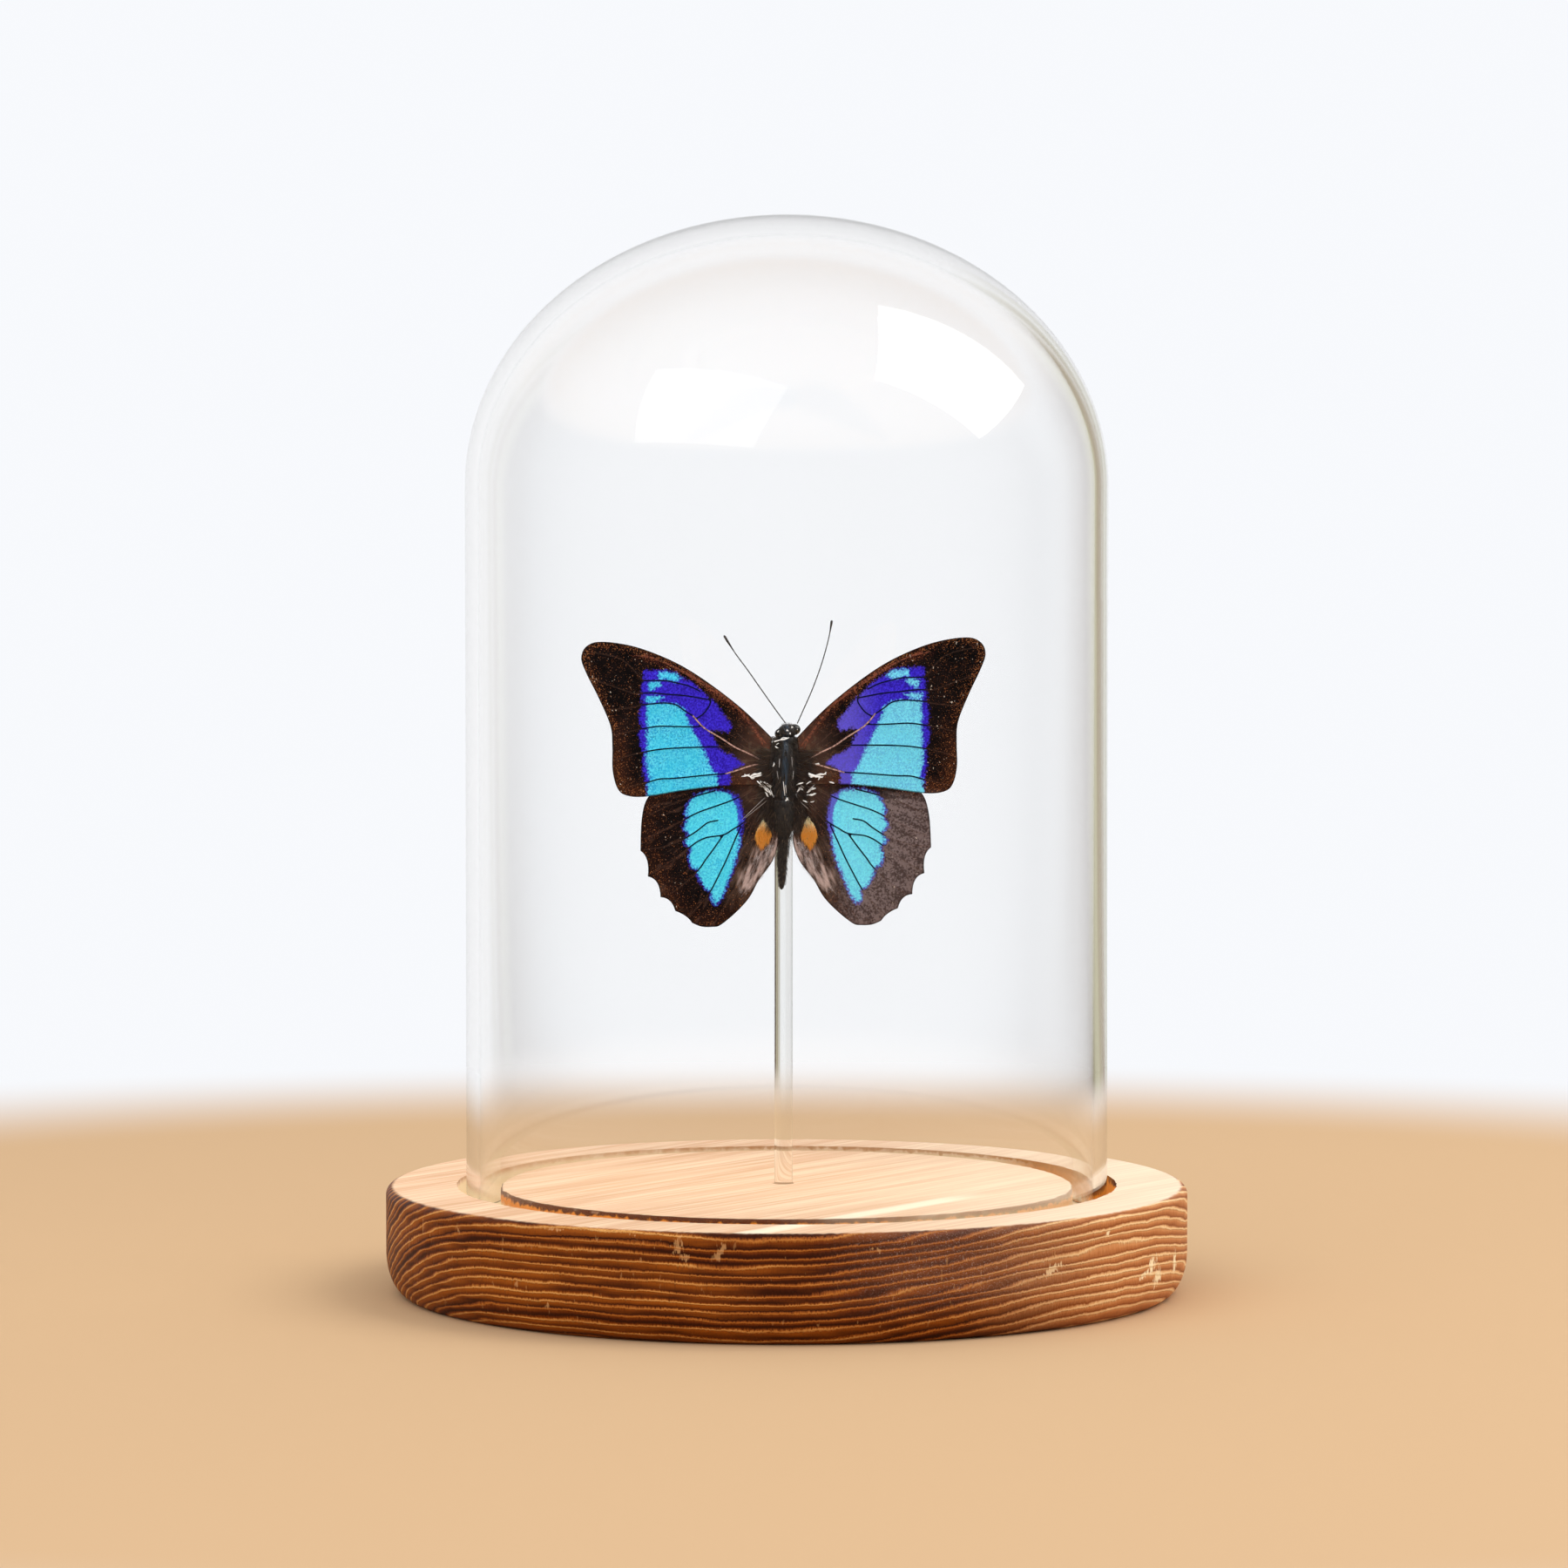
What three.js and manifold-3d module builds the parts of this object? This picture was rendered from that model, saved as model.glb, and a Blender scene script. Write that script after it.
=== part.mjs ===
// A blue-banded butterfly, spread and mounted on a clear rod,
// under a glass dome that stands in the groove of a round wooden base.
//
// Millimetres, +Z up. The origin is the centre of the base's underside.
// The butterfly's upper side faces -Y and its head points up.

import * as THREE from 'three';
import { mergeVertices } from 'three/addons/utils/BufferGeometryUtils.js';
import Module from 'manifold-3d';

const wasm = await Module();
wasm.setup();

// ---------- driving dimensions ----------

// wooden base
const BASE_HEIGHT = 20;
const BASE_RADIUS = 75;
const FOOT_RADIUS = 70.8;
const FOOT_ROUND = 8;
const TOP_ROUND = 1.6;
const PLATE_RADIUS = 53.6;
const GROOVE_RADIUS = 61.7;
const GROOVE_DEPTH = 6;
const BASE_SEGMENTS = 72;

// glass dome
const DOME_RADIUS = 60;
const DOME_TOP = 201;
const DOME_SPRING = 150.5;
const DOME_WALL = 2.5;
const DOME_CROWN_WALL = 3.2;
const DOME_SEGMENTS = 60;

// clear rod and its hole
const ROD_RADIUS = 1.7;
const ROD_X = -0.6;
const ROD_TOP = 99.5;
const ROD_END_ROUND = 0.3;
const ROD_HOLE_DEPTH = 12;
const ROD_SEGMENTS = 24;

// room left between pieces that touch
const GAP = 0.3;

// butterfly
const THORAX_CENTRE = new THREE.Vector3(-0.34, -5.9, 97.7);
const THORAX_HALF = new THREE.Vector3(2.4, 3.0, 6.6);
const BREAST_HALF = new THREE.Vector3(3.2, 2.2, 5.8);
const BREAST_CENTRE = new THREE.Vector3(0, 0.7, 0);
const HEAD_CENTRE = new THREE.Vector3(0.3, -0.3, 7.4);
const HEAD_HALF = new THREE.Vector3(1.75, 1.8, 1.65);
const EYE_RADIUS = 1.15;
const LEG_RADIUS = 0.28;
const BODY_LEAN = THREE.MathUtils.degToRad(1.6);
const WING_THICKNESS = 0.5;
const WING_LEAN = THREE.MathUtils.degToRad(-0.7);
const WING_RAISE = THREE.MathUtils.degToRad(5);
const FOREWING_ROOT = new THREE.Vector2(2.7, -1.6);
const HINDWING_ROOT = new THREE.Vector2(3.1, -0.7);
const ANTENNA_RADIUS = 0.19;
const CLUB_RADIUS = 0.3;
const CLUB_LENGTH = 3.4;

// ---------- materials ----------

const wood = new THREE.MeshStandardMaterial({ color: 0xb98a5e, roughness: 0.7, metalness: 0 });
const glass = new THREE.MeshStandardMaterial({
  color: 0xe6efef, roughness: 0.03, metalness: 0, transparent: true, opacity: 0.25,
});
const acrylic = new THREE.MeshStandardMaterial({
  color: 0xdfe6da, roughness: 0.08, metalness: 0, transparent: true, opacity: 0.45,
});
const glue = new THREE.MeshStandardMaterial({
  color: 0xe2dcc6, roughness: 0.2, metalness: 0, transparent: true, opacity: 0.6,
});
const fur = new THREE.MeshStandardMaterial({ color: 0x1f1a17, roughness: 0.8, metalness: 0 });
const wingScales = new THREE.MeshStandardMaterial({ color: 0x2a2f6d, roughness: 0.6, metalness: 0 });
const horn = new THREE.MeshStandardMaterial({ color: 0x15120f, roughness: 0.5, metalness: 0 });

// ---------- shaping helpers ----------

// Points of a quarter ellipse about a centre, from one angle to another.
function arc(centreX, centreY, radiusX, radiusY, from, to, steps) {
  const points = [];
  for (let i = 0; i <= steps; i += 1) {
    const angle = THREE.MathUtils.degToRad(from + (to - from) * i / steps);
    points.push(new THREE.Vector2(
      centreX + radiusX * Math.cos(angle),
      centreY + radiusY * Math.sin(angle),
    ));
  }
  return points;
}

// A body of revolution about Z from a profile of (radius, height) points.
function turned(profile, segments) {
  return new THREE.LatheGeometry(profile, segments).rotateX(Math.PI / 2);
}

// An ellipsoid with its poles on the Z axis.
function ellipsoid(half, centre, around, along) {
  const geometry = new THREE.SphereGeometry(1, around, along);
  geometry.rotateX(Math.PI / 2);
  geometry.scale(half.x, half.y, half.z);
  geometry.translate(centre.x, centre.y, centre.z);
  return geometry;
}

// A round-sectioned tube with closed ends along a smooth path.
function tube(points, radius, sides, steps) {
  const section = new THREE.Shape(arc(0, 0, radius, radius, 0, 360 - 360 / sides, sides - 1));
  const path = new THREE.CatmullRomCurve3(points.map((p) => new THREE.Vector3(...p)));
  return new THREE.ExtrudeGeometry(section, { extrudePath: path, steps, bevelEnabled: false });
}

// A closed geometry as a solid that can be joined and cut.
function toSolid(geometry) {
  const bare = geometry.index ? geometry.toNonIndexed() : geometry.clone();
  bare.deleteAttribute('normal');
  bare.deleteAttribute('uv');
  const merged = mergeVertices(bare, 1e-4);
  return new wasm.Manifold(new wasm.Mesh({
    numProp: 3,
    vertProperties: new Float32Array(merged.attributes.position.array),
    triVerts: new Uint32Array(merged.index.array),
  }));
}

// A solid as a geometry for a mesh.
function toGeometry(solid) {
  const mesh = solid.getMesh();
  const geometry = new THREE.BufferGeometry();
  geometry.setAttribute('position', new THREE.BufferAttribute(mesh.vertProperties, 3));
  geometry.setIndex(new THREE.BufferAttribute(mesh.triVerts, 1));
  geometry.computeVertexNormals();
  return geometry;
}

// Several closed geometries joined in one.
function fused(geometries) {
  return toGeometry(geometries.map(toSolid).reduce((whole, piece) => whole.add(piece)));
}

function named(name, geometry, material) {
  const mesh = new THREE.Mesh(geometry, material);
  mesh.name = name;
  return mesh;
}

// ---------- wooden base ----------

// The disc is turned in one piece, with a rounded foot, an eased top edge,
// a ring groove for the dome and an off-centre hole for the rod.
function makeBase() {
  const grooveFloor = BASE_HEIGHT - GROOVE_DEPTH;
  const profile = [
    new THREE.Vector2(0, 0),
    ...arc(FOOT_RADIUS, FOOT_ROUND, BASE_RADIUS - FOOT_RADIUS, FOOT_ROUND, -90, 0, 5),
    ...arc(BASE_RADIUS - TOP_ROUND, BASE_HEIGHT - TOP_ROUND, TOP_ROUND, TOP_ROUND, 0, 90, 3),
    new THREE.Vector2(GROOVE_RADIUS, BASE_HEIGHT),
    new THREE.Vector2(GROOVE_RADIUS, grooveFloor),
    new THREE.Vector2(PLATE_RADIUS, grooveFloor),
    new THREE.Vector2(PLATE_RADIUS, BASE_HEIGHT),
    new THREE.Vector2(0, BASE_HEIGHT),
  ];
  const disc = toSolid(turned(profile, BASE_SEGMENTS));
  const holeRadius = ROD_RADIUS + GAP;
  const cutterHeight = ROD_HOLE_DEPTH + 1;
  const cutter = new THREE.CylinderGeometry(holeRadius, holeRadius, cutterHeight, ROD_SEGMENTS);
  cutter.rotateX(Math.PI / 2);
  cutter.translate(ROD_X, 0, BASE_HEIGHT - ROD_HOLE_DEPTH + cutterHeight / 2);
  return named('base', toGeometry(disc.subtract(toSolid(cutter))), wood);
}

// ---------- glass dome ----------

// A straight wall with a flattened round crown; the rim stands in the groove.
function makeDome() {
  const rim = BASE_HEIGHT - GROOVE_DEPTH + GAP;
  const innerRadius = DOME_RADIUS - DOME_WALL;
  const outerRise = DOME_TOP - DOME_SPRING;
  const innerRise = outerRise - DOME_CROWN_WALL;
  const inside = arc(0, DOME_SPRING, innerRadius, innerRise, 90, 0, 10);
  const outside = arc(0, DOME_SPRING, DOME_RADIUS, outerRise, 0, 90, 10);
  inside[0].x = 0;
  outside.at(-1).x = 0;
  const profile = [
    ...inside,
    new THREE.Vector2(innerRadius, rim),
    new THREE.Vector2(DOME_RADIUS, rim),
    ...outside,
  ];
  return named('glass_dome', turned(profile, DOME_SEGMENTS), glass);
}

// ---------- rod and glue ----------

function makeRod() {
  const foot = BASE_HEIGHT - ROD_HOLE_DEPTH + GAP;
  const flat = ROD_RADIUS - ROD_END_ROUND;
  const profile = [
    new THREE.Vector2(0, foot),
    new THREE.Vector2(flat, foot),
    new THREE.Vector2(ROD_RADIUS, foot + ROD_END_ROUND),
    new THREE.Vector2(ROD_RADIUS, ROD_TOP - ROD_END_ROUND),
    new THREE.Vector2(flat, ROD_TOP),
    new THREE.Vector2(0, ROD_TOP),
  ];
  const rod = named('rod', turned(profile, ROD_SEGMENTS), acrylic);
  rod.position.x = ROD_X;
  return rod;
}

// A flat drop between the back of the thorax and the front of the rod.
function makeGlueBead() {
  const thoraxBack = THORAX_CENTRE.y + THORAX_HALF.y;
  const rodFront = -ROD_RADIUS;
  const half = new THREE.Vector3(1.3, (rodFront - thoraxBack) / 2 - GAP, 2.2);
  const bead = named('glue_bead', ellipsoid(half, new THREE.Vector3(), 12, 8), glue);
  bead.position.set(ROD_X, (rodFront + thoraxBack) / 2, THORAX_CENTRE.z - 0.6);
  return bead;
}

// ---------- butterfly's body ----------

// The abdomen is broad where it joins the thorax and shrinks to a thin tail.
function abdomen() {
  const profile = [
    [0, -22.2], [0.35, -21.9], [0.6, -20.6], [0.85, -17.6], [1.0, -14.6],
    [1.25, -12.6], [1.9, -11.2], [2.25, -9.6], [2.35, -7.6], [2.2, -5.6], [0, -4.2],
  ];
  return turned(profile.map(([radius, height]) => new THREE.Vector2(radius, height)), 18);
}

// A leg folded against the underside, given for the right and mirrored for the left.
function leg(side, points) {
  const placed = points.map(([x, y, z]) => [side * x, y, z]);
  return tube(placed, LEG_RADIUS, 6, 8);
}

const LEG_PATHS = [
  [[1.0, 2.2, 3.6], [2.0, 3.2, 5.0], [2.7, 3.3, 3.8], [2.6, 3.3, 1.9]],
  [[1.4, 2.0, 1.4], [3.2, 3.2, 3.9], [3.3, 3.8, 0.4], [2.9, 3.5, -3.6]],
  [[1.4, 2.0, -1.6], [3.3, 3.2, -4.6], [3.1, 3.6, -8.0], [2.6, 3.2, -11.2]],
];

// The tongue is coiled like a watch spring under the head.
function tongue() {
  const points = [];
  const turns = 2;
  const steps = 20;
  for (let i = 0; i <= steps; i += 1) {
    const angle = 2 * Math.PI * turns * i / steps;
    const radius = 0.35 + 0.55 * i / steps;
    points.push([
      HEAD_CENTRE.x,
      HEAD_CENTRE.y + 2.2 - radius * Math.cos(angle),
      HEAD_CENTRE.z + 0.2 + radius * Math.sin(angle),
    ]);
  }
  return tube(points, 0.14, 4, 24);
}

function makeBody() {
  const pieces = [
    ellipsoid(THORAX_HALF, new THREE.Vector3(), 18, 12),
    ellipsoid(BREAST_HALF, BREAST_CENTRE, 16, 10),
    ellipsoid(HEAD_HALF, HEAD_CENTRE, 12, 8),
    abdomen(),
    tongue(),
  ];
  for (const side of [-1, 1]) {
    const eye = new THREE.Vector3(HEAD_CENTRE.x + side * 1.3, HEAD_CENTRE.y + 0.1, HEAD_CENTRE.z + 0.1);
    const eyeHalf = new THREE.Vector3(EYE_RADIUS, EYE_RADIUS, EYE_RADIUS);
    pieces.push(ellipsoid(eyeHalf, eye, 10, 8));
    const palpHalf = new THREE.Vector3(0.42, 0.5, 1.2);
    const palp = new THREE.Vector3(HEAD_CENTRE.x + side * 0.5, HEAD_CENTRE.y + 1.0, HEAD_CENTRE.z + 1.3);
    pieces.push(ellipsoid(palpHalf, palp, 8, 6));
    for (const points of LEG_PATHS) {
      pieces.push(leg(side, points));
    }
  }
  const body = named('body', fused(pieces), fur);
  body.rotation.y = BODY_LEAN;
  return body;
}

// ---------- wings ----------

// Outlines are of a right wing, seen from its upper side:
// x runs out from the body's centre and y runs up towards the head.

function forewingOutline() {
  const outline = new THREE.Shape();
  outline.moveTo(2.3, 6.2);
  outline.splineThru([
    [7.8, 11.7], [14.5, 17.0], [20.5, 20.7], [27.5, 23.5], [33.6, 24.5], [36.4, 23.7],
    [37.4, 21.6], [36.6, 18.9], [34.3, 14.1], [32.2, 8.9], [31.9, 5.0], [31.9, 0.6],
    [31.0, -2.8], [29.2, -4.1], [25.6, -4.3], [18.6, -3.3], [11.3, -2.6], [2.8, -2.3],
    [2.85, 0.6], [2.5, 4.2],
  ].map(([x, y]) => new THREE.Vector2(x, y)));
  return outline.getPoints(3);
}

function hindwingOutline() {
  const toVectors = (pairs) => pairs.map(([x, y]) => new THREE.Vector2(x, y));
  const outline = new THREE.Shape();
  outline.moveTo(3.1, -1.2);
  outline.splineThru(toVectors([
    [9.7, 0.2], [17.8, -0.5], [22.7, -2.1], [25.6, -4.7], [26.7, -8.6], [27.0, -14.4],
  ]));
  // each hollow between two vein ends is one arc through its deepest point
  const scallops = [
    [[25.8, -16.2], [25.7, -19.2]],
    [[24.0, -20.4], [23.4, -23.1]],
    [[21.7, -23.8], [20.7, -25.7]],
    [[18.8, -26.7], [17.6, -28.0]],
  ];
  let [lastX, lastY] = [27.0, -14.4];
  for (const [[deepX, deepY], [tipX, tipY]] of scallops) {
    const controlX = 2 * deepX - (lastX + tipX) / 2;
    const controlY = 2 * deepY - (lastY + tipY) / 2;
    outline.quadraticCurveTo(controlX, controlY, tipX, tipY);
    [lastX, lastY] = [tipX, tipY];
  }
  outline.splineThru(toVectors([
    [15.9, -28.7], [13.9, -28.8], [12.2, -28.4], [8.7, -25.5], [5.0, -21.6],
    [2.9, -17.8], [1.9, -15.3], [1.75, -13.7], [2.3, -12.2], [2.8, -10.6], [3.0, -5.0],
  ]));
  return outline.getPoints(3);
}

// A thin plate of the outline, hinged at its root and raised a little towards -Y.
function makeWing(name, outline, side, root) {
  const plate = new THREE.Shape(outline.map((p) => new THREE.Vector2(side * (p.x - root.x), p.y)));
  const geometry = new THREE.ExtrudeGeometry(plate, { depth: WING_THICKNESS, bevelEnabled: false });
  geometry.rotateX(Math.PI / 2);
  geometry.translate(0, WING_THICKNESS / 2, 0);
  const wing = named(name, geometry, wingScales);
  wing.position.set(side * root.x, root.y, 0);
  wing.rotation.z = -side * WING_RAISE;
  return wing;
}

function makeWings() {
  const wings = new THREE.Group();
  const forewing = forewingOutline();
  const hindwing = hindwingOutline();
  for (const [word, side] of [['left', -1], ['right', 1]]) {
    wings.add(makeWing(`forewing_${word}`, forewing, side, FOREWING_ROOT));
    wings.add(makeWing(`hindwing_${word}`, hindwing, side, HINDWING_ROOT));
  }
  wings.rotation.y = WING_LEAN;
  return wings;
}

// ---------- antennae ----------

const ANTENNA_PATHS = {
  left: [
    [0.2, -0.7, 9.5], [-1.8, -0.9, 12.8], [-4.4, -1.2, 16.0],
    [-7.0, -1.4, 18.9], [-9.1, -1.5, 21.5], [-11.3, -1.5, 25.2],
  ],
  right: [
    [1.8, -0.7, 9.3], [3.2, -0.9, 11.8], [5.0, -1.2, 15.4],
    [6.8, -1.4, 19.9], [8.1, -1.5, 24.6], [8.7, -1.5, 28.0],
  ],
};

// A thread that thickens to a slender club at its end.
function makeAntenna(word) {
  const points = ANTENNA_PATHS[word];
  const shaft = tube(points, ANTENNA_RADIUS, 6, 16);
  const tip = new THREE.Vector3(...points.at(-1));
  const before = new THREE.Vector3(...points.at(-2));
  const direction = tip.clone().sub(before).normalize();
  const club = new THREE.SphereGeometry(1, 6, 8);
  club.scale(CLUB_RADIUS, CLUB_LENGTH / 2, CLUB_RADIUS);
  club.applyQuaternion(new THREE.Quaternion().setFromUnitVectors(new THREE.Vector3(0, 1, 0), direction));
  const middle = tip.clone().addScaledVector(direction, -CLUB_LENGTH / 2 + 0.4);
  club.translate(middle.x, middle.y, middle.z);
  return named(`antenna_${word}`, fused([shaft, club]), horn);
}

// ---------- whole object ----------

const butterfly = new THREE.Group();
butterfly.position.copy(THORAX_CENTRE);
butterfly.add(makeBody(), makeWings(), makeAntenna('left'), makeAntenna('right'));

const object = new THREE.Group();
object.add(makeBase(), makeDome(), makeRod(), makeGlueBead(), butterfly);

export default object;
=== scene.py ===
"""A blue-banded butterfly, spread on a clear rod under a glass dome on a scorched pine base."""
import math

import bpy
import numpy as np
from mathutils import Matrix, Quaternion, Vector
from mathutils.geometry import delaunay_2d_cdt


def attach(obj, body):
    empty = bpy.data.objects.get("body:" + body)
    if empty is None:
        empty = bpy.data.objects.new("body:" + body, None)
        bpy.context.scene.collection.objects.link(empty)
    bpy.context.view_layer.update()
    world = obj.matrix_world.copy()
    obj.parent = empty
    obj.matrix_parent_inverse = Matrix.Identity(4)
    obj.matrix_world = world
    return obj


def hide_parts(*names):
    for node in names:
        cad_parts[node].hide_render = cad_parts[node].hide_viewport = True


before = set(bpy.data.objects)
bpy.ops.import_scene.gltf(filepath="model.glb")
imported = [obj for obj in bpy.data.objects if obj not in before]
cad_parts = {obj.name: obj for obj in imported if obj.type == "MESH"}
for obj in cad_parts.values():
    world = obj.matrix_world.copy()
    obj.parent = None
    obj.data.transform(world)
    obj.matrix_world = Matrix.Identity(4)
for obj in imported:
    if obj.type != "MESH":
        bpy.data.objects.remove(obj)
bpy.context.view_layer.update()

# ---------- wooden base ----------
# A disc turned from one piece of pine. Its side is scorched with a flame and
# brushed, so the hard late wood stays as pale ridges; the top is left bare.
# A ring groove holds the dome and an off-centre hole holds the rod.

MM = 0.001
BASE_HEIGHT = 20.0
BASE_RADIUS = 75.0
FOOT_RADIUS = 70.8
FOOT_ROUND = 8.0
TOP_ROUND = 1.6
PLATE_RADIUS = 53.6
GROOVE_RADIUS = 61.7
GROOVE_FLOOR = 14.0
HOLE_RADIUS = 2.0
HOLE_FLOOR = 8.0
ROD_X = -0.6
BASE_AROUND = 540
RING_SPACING = 1.62
LIP = 1.4
TEAR_DOWN = 0.75
TEAR_IN = 0.9
TEAR_OUT = 0.5
EDGE_REACH = 0.3
KNOCK_DEPTH = 0.22
BRUSHED_DEPTH = 0.24
HEART_ACROSS = 18.0
BOARD_ACROSS, BOARD_ALONG = 0.8, 0.6

# knocks in the scorched side: azimuth from the front, height, half width, half height, lean
CHIPS = [
    (-62.0, 16.7, 0.35, 1.3, 0.1), (-59.1, 14.6, 0.4, 1.2, 0.15), (-52.3, 16.8, 0.45, 1.9, 0.05),
    (-33.6, 19.2, 2.6, 0.25, 0.0), (-20.9, 18.8, 1.1, 0.5, -0.5), (-14.8, 17.6, 1.0, 1.7, 0.3),
    (-13.5, 15.6, 1.1, 0.6, 0.0), (-8.9, 17.0, 0.8, 1.3, 0.7), (-9.6, 15.6, 0.7, 0.7, 0.0),
    (-40.0, 8.9, 0.35, 0.9, 0.0), (-34.6, 5.3, 0.3, 1.1, 0.0), (39.1, 11.5, 2.2, 0.8, 0.35),
    (50.4, 16.6, 0.8, 0.5, 0.2), (62.7, 9.3, 1.7, 1.8, 0.5), (64.7, 6.6, 1.8, 1.6, 0.3),
    (72.3, 8.0, 1.2, 2.4, 0.2), (60.0, 7.7, 2.0, 0.6, 0.3), (11.9, 17.0, 1.5, 0.3, -0.3),
    (150.0, 13.0, 1.6, 0.8, 0.3), (-140.0, 9.0, 0.8, 1.6, 0.1),
]


def arc(centre, reach, start, end, steps):
    """Points of an ellipse's arc about a centre, between two angles in degrees."""
    turn = np.radians(np.linspace(start, end, steps + 1))
    return [(centre[0] + reach[0] * math.cos(a), centre[1] + reach[1] * math.sin(a)) for a in turn]


def close_set(points, step):
    """The same line of points with no two neighbours further apart than the step."""
    made = [points[0]]
    for before, after in zip(points, points[1:]):
        count = max(1, math.ceil(math.dist(before, after) / step))
        for i in range(1, count + 1):
            share = i / count
            made.append(tuple(a + (b - a) * share for a, b in zip(before, after)))
    return made


def turned(profile, around):
    """Points and faces of a turned form, its profile running from axis to axis."""
    angles = np.linspace(0, 2 * math.pi, around, endpoint=False)
    points = []
    rows = []
    for radius, height in profile:
        if radius < 1e-6:
            rows.append([len(points)] * around)
            points.append((0.0, 0.0, height))
        else:
            rows.append(list(range(len(points), len(points) + around)))
            points.extend(zip(radius * np.cos(angles), radius * np.sin(angles), [height] * around))
    faces = []
    for low, high in zip(rows, rows[1:]):
        for j in range(around):
            k = (j + 1) % around
            corners = (low[j], low[k], high[k], high[j])
            faces.append(tuple(dict.fromkeys(corners)))
    return np.array(points, float), faces


def piece(name, *forms, crease=None, **values):
    """A smooth-shaded object from forms in millimetres, with a number per point for each value."""
    points = np.concatenate([form[0] for form in forms])
    faces = []
    first = 0
    for form in forms:
        faces.extend(tuple(first + i for i in face) for face in form[1])
        first += len(form[0])
    mesh = bpy.data.meshes.new(name)
    mesh.from_pydata((points * MM).tolist(), [], faces)
    mesh.polygons.foreach_set("use_smooth", [True] * len(faces))
    for word, numbers in values.items():
        layer = mesh.attributes.new(word, "FLOAT", "POINT")
        layer.data.foreach_set("value", np.asarray(numbers, np.float32))
    mesh.update()
    if crease:
        mesh.set_sharp_from_angle(angle=math.radians(crease))
    made = bpy.data.objects.new(name, mesh)
    bpy.context.scene.collection.objects.link(made)
    return made


def fit(made, slot, finish, *nodes):
    """Gives a piece its finish, lets it ride on the object and stand for CAD nodes."""
    made.data.materials.append(finish.material)
    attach(made, "root")
    if nodes:
        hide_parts(*nodes)


def paint(red, green, blue):
    """A colour as it looks, 0 to 255 each, turned into the light it sends back."""
    parts = []
    for part in (red, green, blue):
        share = part / 255
        parts.append(share / 12.92 if share <= 0.04045 else ((share + 0.055) / 1.055) ** 2.4)
    return (*parts, 1.0)


class Value:
    """A number or colour that varies over a surface; sums on it add Math nodes."""

    def __init__(self, finish, socket):
        self.finish = finish
        self.socket = socket

    def math(self, operation, *others):
        return self.finish.node("ShaderNodeMath", {"operation": operation}, [self, *others])

    def __add__(self, other):
        return self.math("ADD", other)

    def __sub__(self, other):
        return self.math("SUBTRACT", other)

    def __rsub__(self, other):
        return self.finish.node("ShaderNodeMath", {"operation": "SUBTRACT"}, [other, self])

    def __mul__(self, other):
        return self.math("MULTIPLY", other)

    def __truediv__(self, other):
        return self.math("DIVIDE", other)

    __radd__ = __add__
    __rmul__ = __mul__

    def step(self, low, high):
        """0 below one value and 1 above the other, with a soft step between."""
        settings = {"interpolation_type": "SMOOTHSTEP"}
        return self.finish.node("ShaderNodeMapRange", settings, [self, low, high, 0.0, 1.0])

    def lay(self, share, red, green, blue):
        """This colour with another laid over it by a share."""
        return self.finish.blend(share, self, paint(red, green, blue))


class Finish:
    """The node tree of one material, or of the surround."""

    def __init__(self, name, owner=None):
        self.material = owner or bpy.data.materials.new(name)
        self.material.use_nodes = True
        self.tree = self.material.node_tree
        self.tree.nodes.clear()

    def node(self, kind, settings, sockets, output=0):
        """One node: its settings first, then the values or links of its sockets."""
        made = self.tree.nodes.new(kind)
        for word, setting in settings.items():
            if word == "stops":
                ramp = made.color_ramp.elements
                while len(ramp) < len(setting):
                    ramp.new(0.5)
                for element, (place, colour) in zip(ramp, setting):
                    element.position = place
                    element.color = colour
            else:
                setattr(made, word, setting)
        pairs = sockets.items() if isinstance(sockets, dict) else enumerate(sockets)
        for word, value in pairs:
            if isinstance(value, Value):
                self.tree.links.new(value.socket, made.inputs[word])
            else:
                made.inputs[word].default_value = value
        return Value(self, made.outputs[output])

    def place(self, axis):
        """The object's own x, y or z in millimetres."""
        spot = self.node("ShaderNodeTexCoord", {}, {}, "Object")
        return self.node("ShaderNodeSeparateXYZ", {}, [spot], axis) * 1000

    def value(self, name):
        """A number stored on the mesh's points."""
        return self.node("ShaderNodeAttribute", {"attribute_name": name}, {}, "Fac")

    def mottle(self, size, detail=2.0, stretch=(1, 1, 1), shift=0.0):
        """Soft noise of a size in millimetres, 0 to 1, drawn out along the axes by the stretch."""
        spot = self.node("ShaderNodeTexCoord", {}, {}, "Object")
        scale = [1000 / (size * s) for s in stretch]
        settings = {"vector_type": "POINT"}
        spot = self.node("ShaderNodeMapping", settings, {"Vector": spot, "Scale": scale,
                                                         "Location": (shift, shift, shift)})
        return self.node("ShaderNodeTexNoise", {}, {"Vector": spot, "Scale": 1.0, "Detail": detail}, "Fac")

    def noise_at(self, place, detail):
        """Soft noise, 0 to 1, at a place given by three values."""
        spot = self.node("ShaderNodeCombineXYZ", {}, place)
        return self.node("ShaderNodeTexNoise", {}, {"Vector": spot, "Scale": 1.0, "Detail": detail}, "Fac")

    def blend(self, share, under, over):
        """One colour laid over another by a share."""
        return self.node("ShaderNodeMix", {"data_type": "RGBA"}, {0: share, 6: under, 7: over}, 2)

    def relief(self, height, depth):
        """A bump from a height of 0 to 1, its depth in millimetres."""
        sockets = {"Height": height, "Strength": 1.0, "Distance": depth * MM}
        return self.node("ShaderNodeBump", {}, sockets, "Normal")

    def surface(self, shader):
        """Ends the tree in a shader."""
        out = self.tree.nodes.new("ShaderNodeOutputMaterial")
        self.tree.links.new(shader.socket, out.inputs["Surface"])

    def coat(self, sockets):
        """Ends the tree in one Principled shader."""
        self.surface(self.node("ShaderNodeBsdfPrincipled", {}, sockets))


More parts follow.
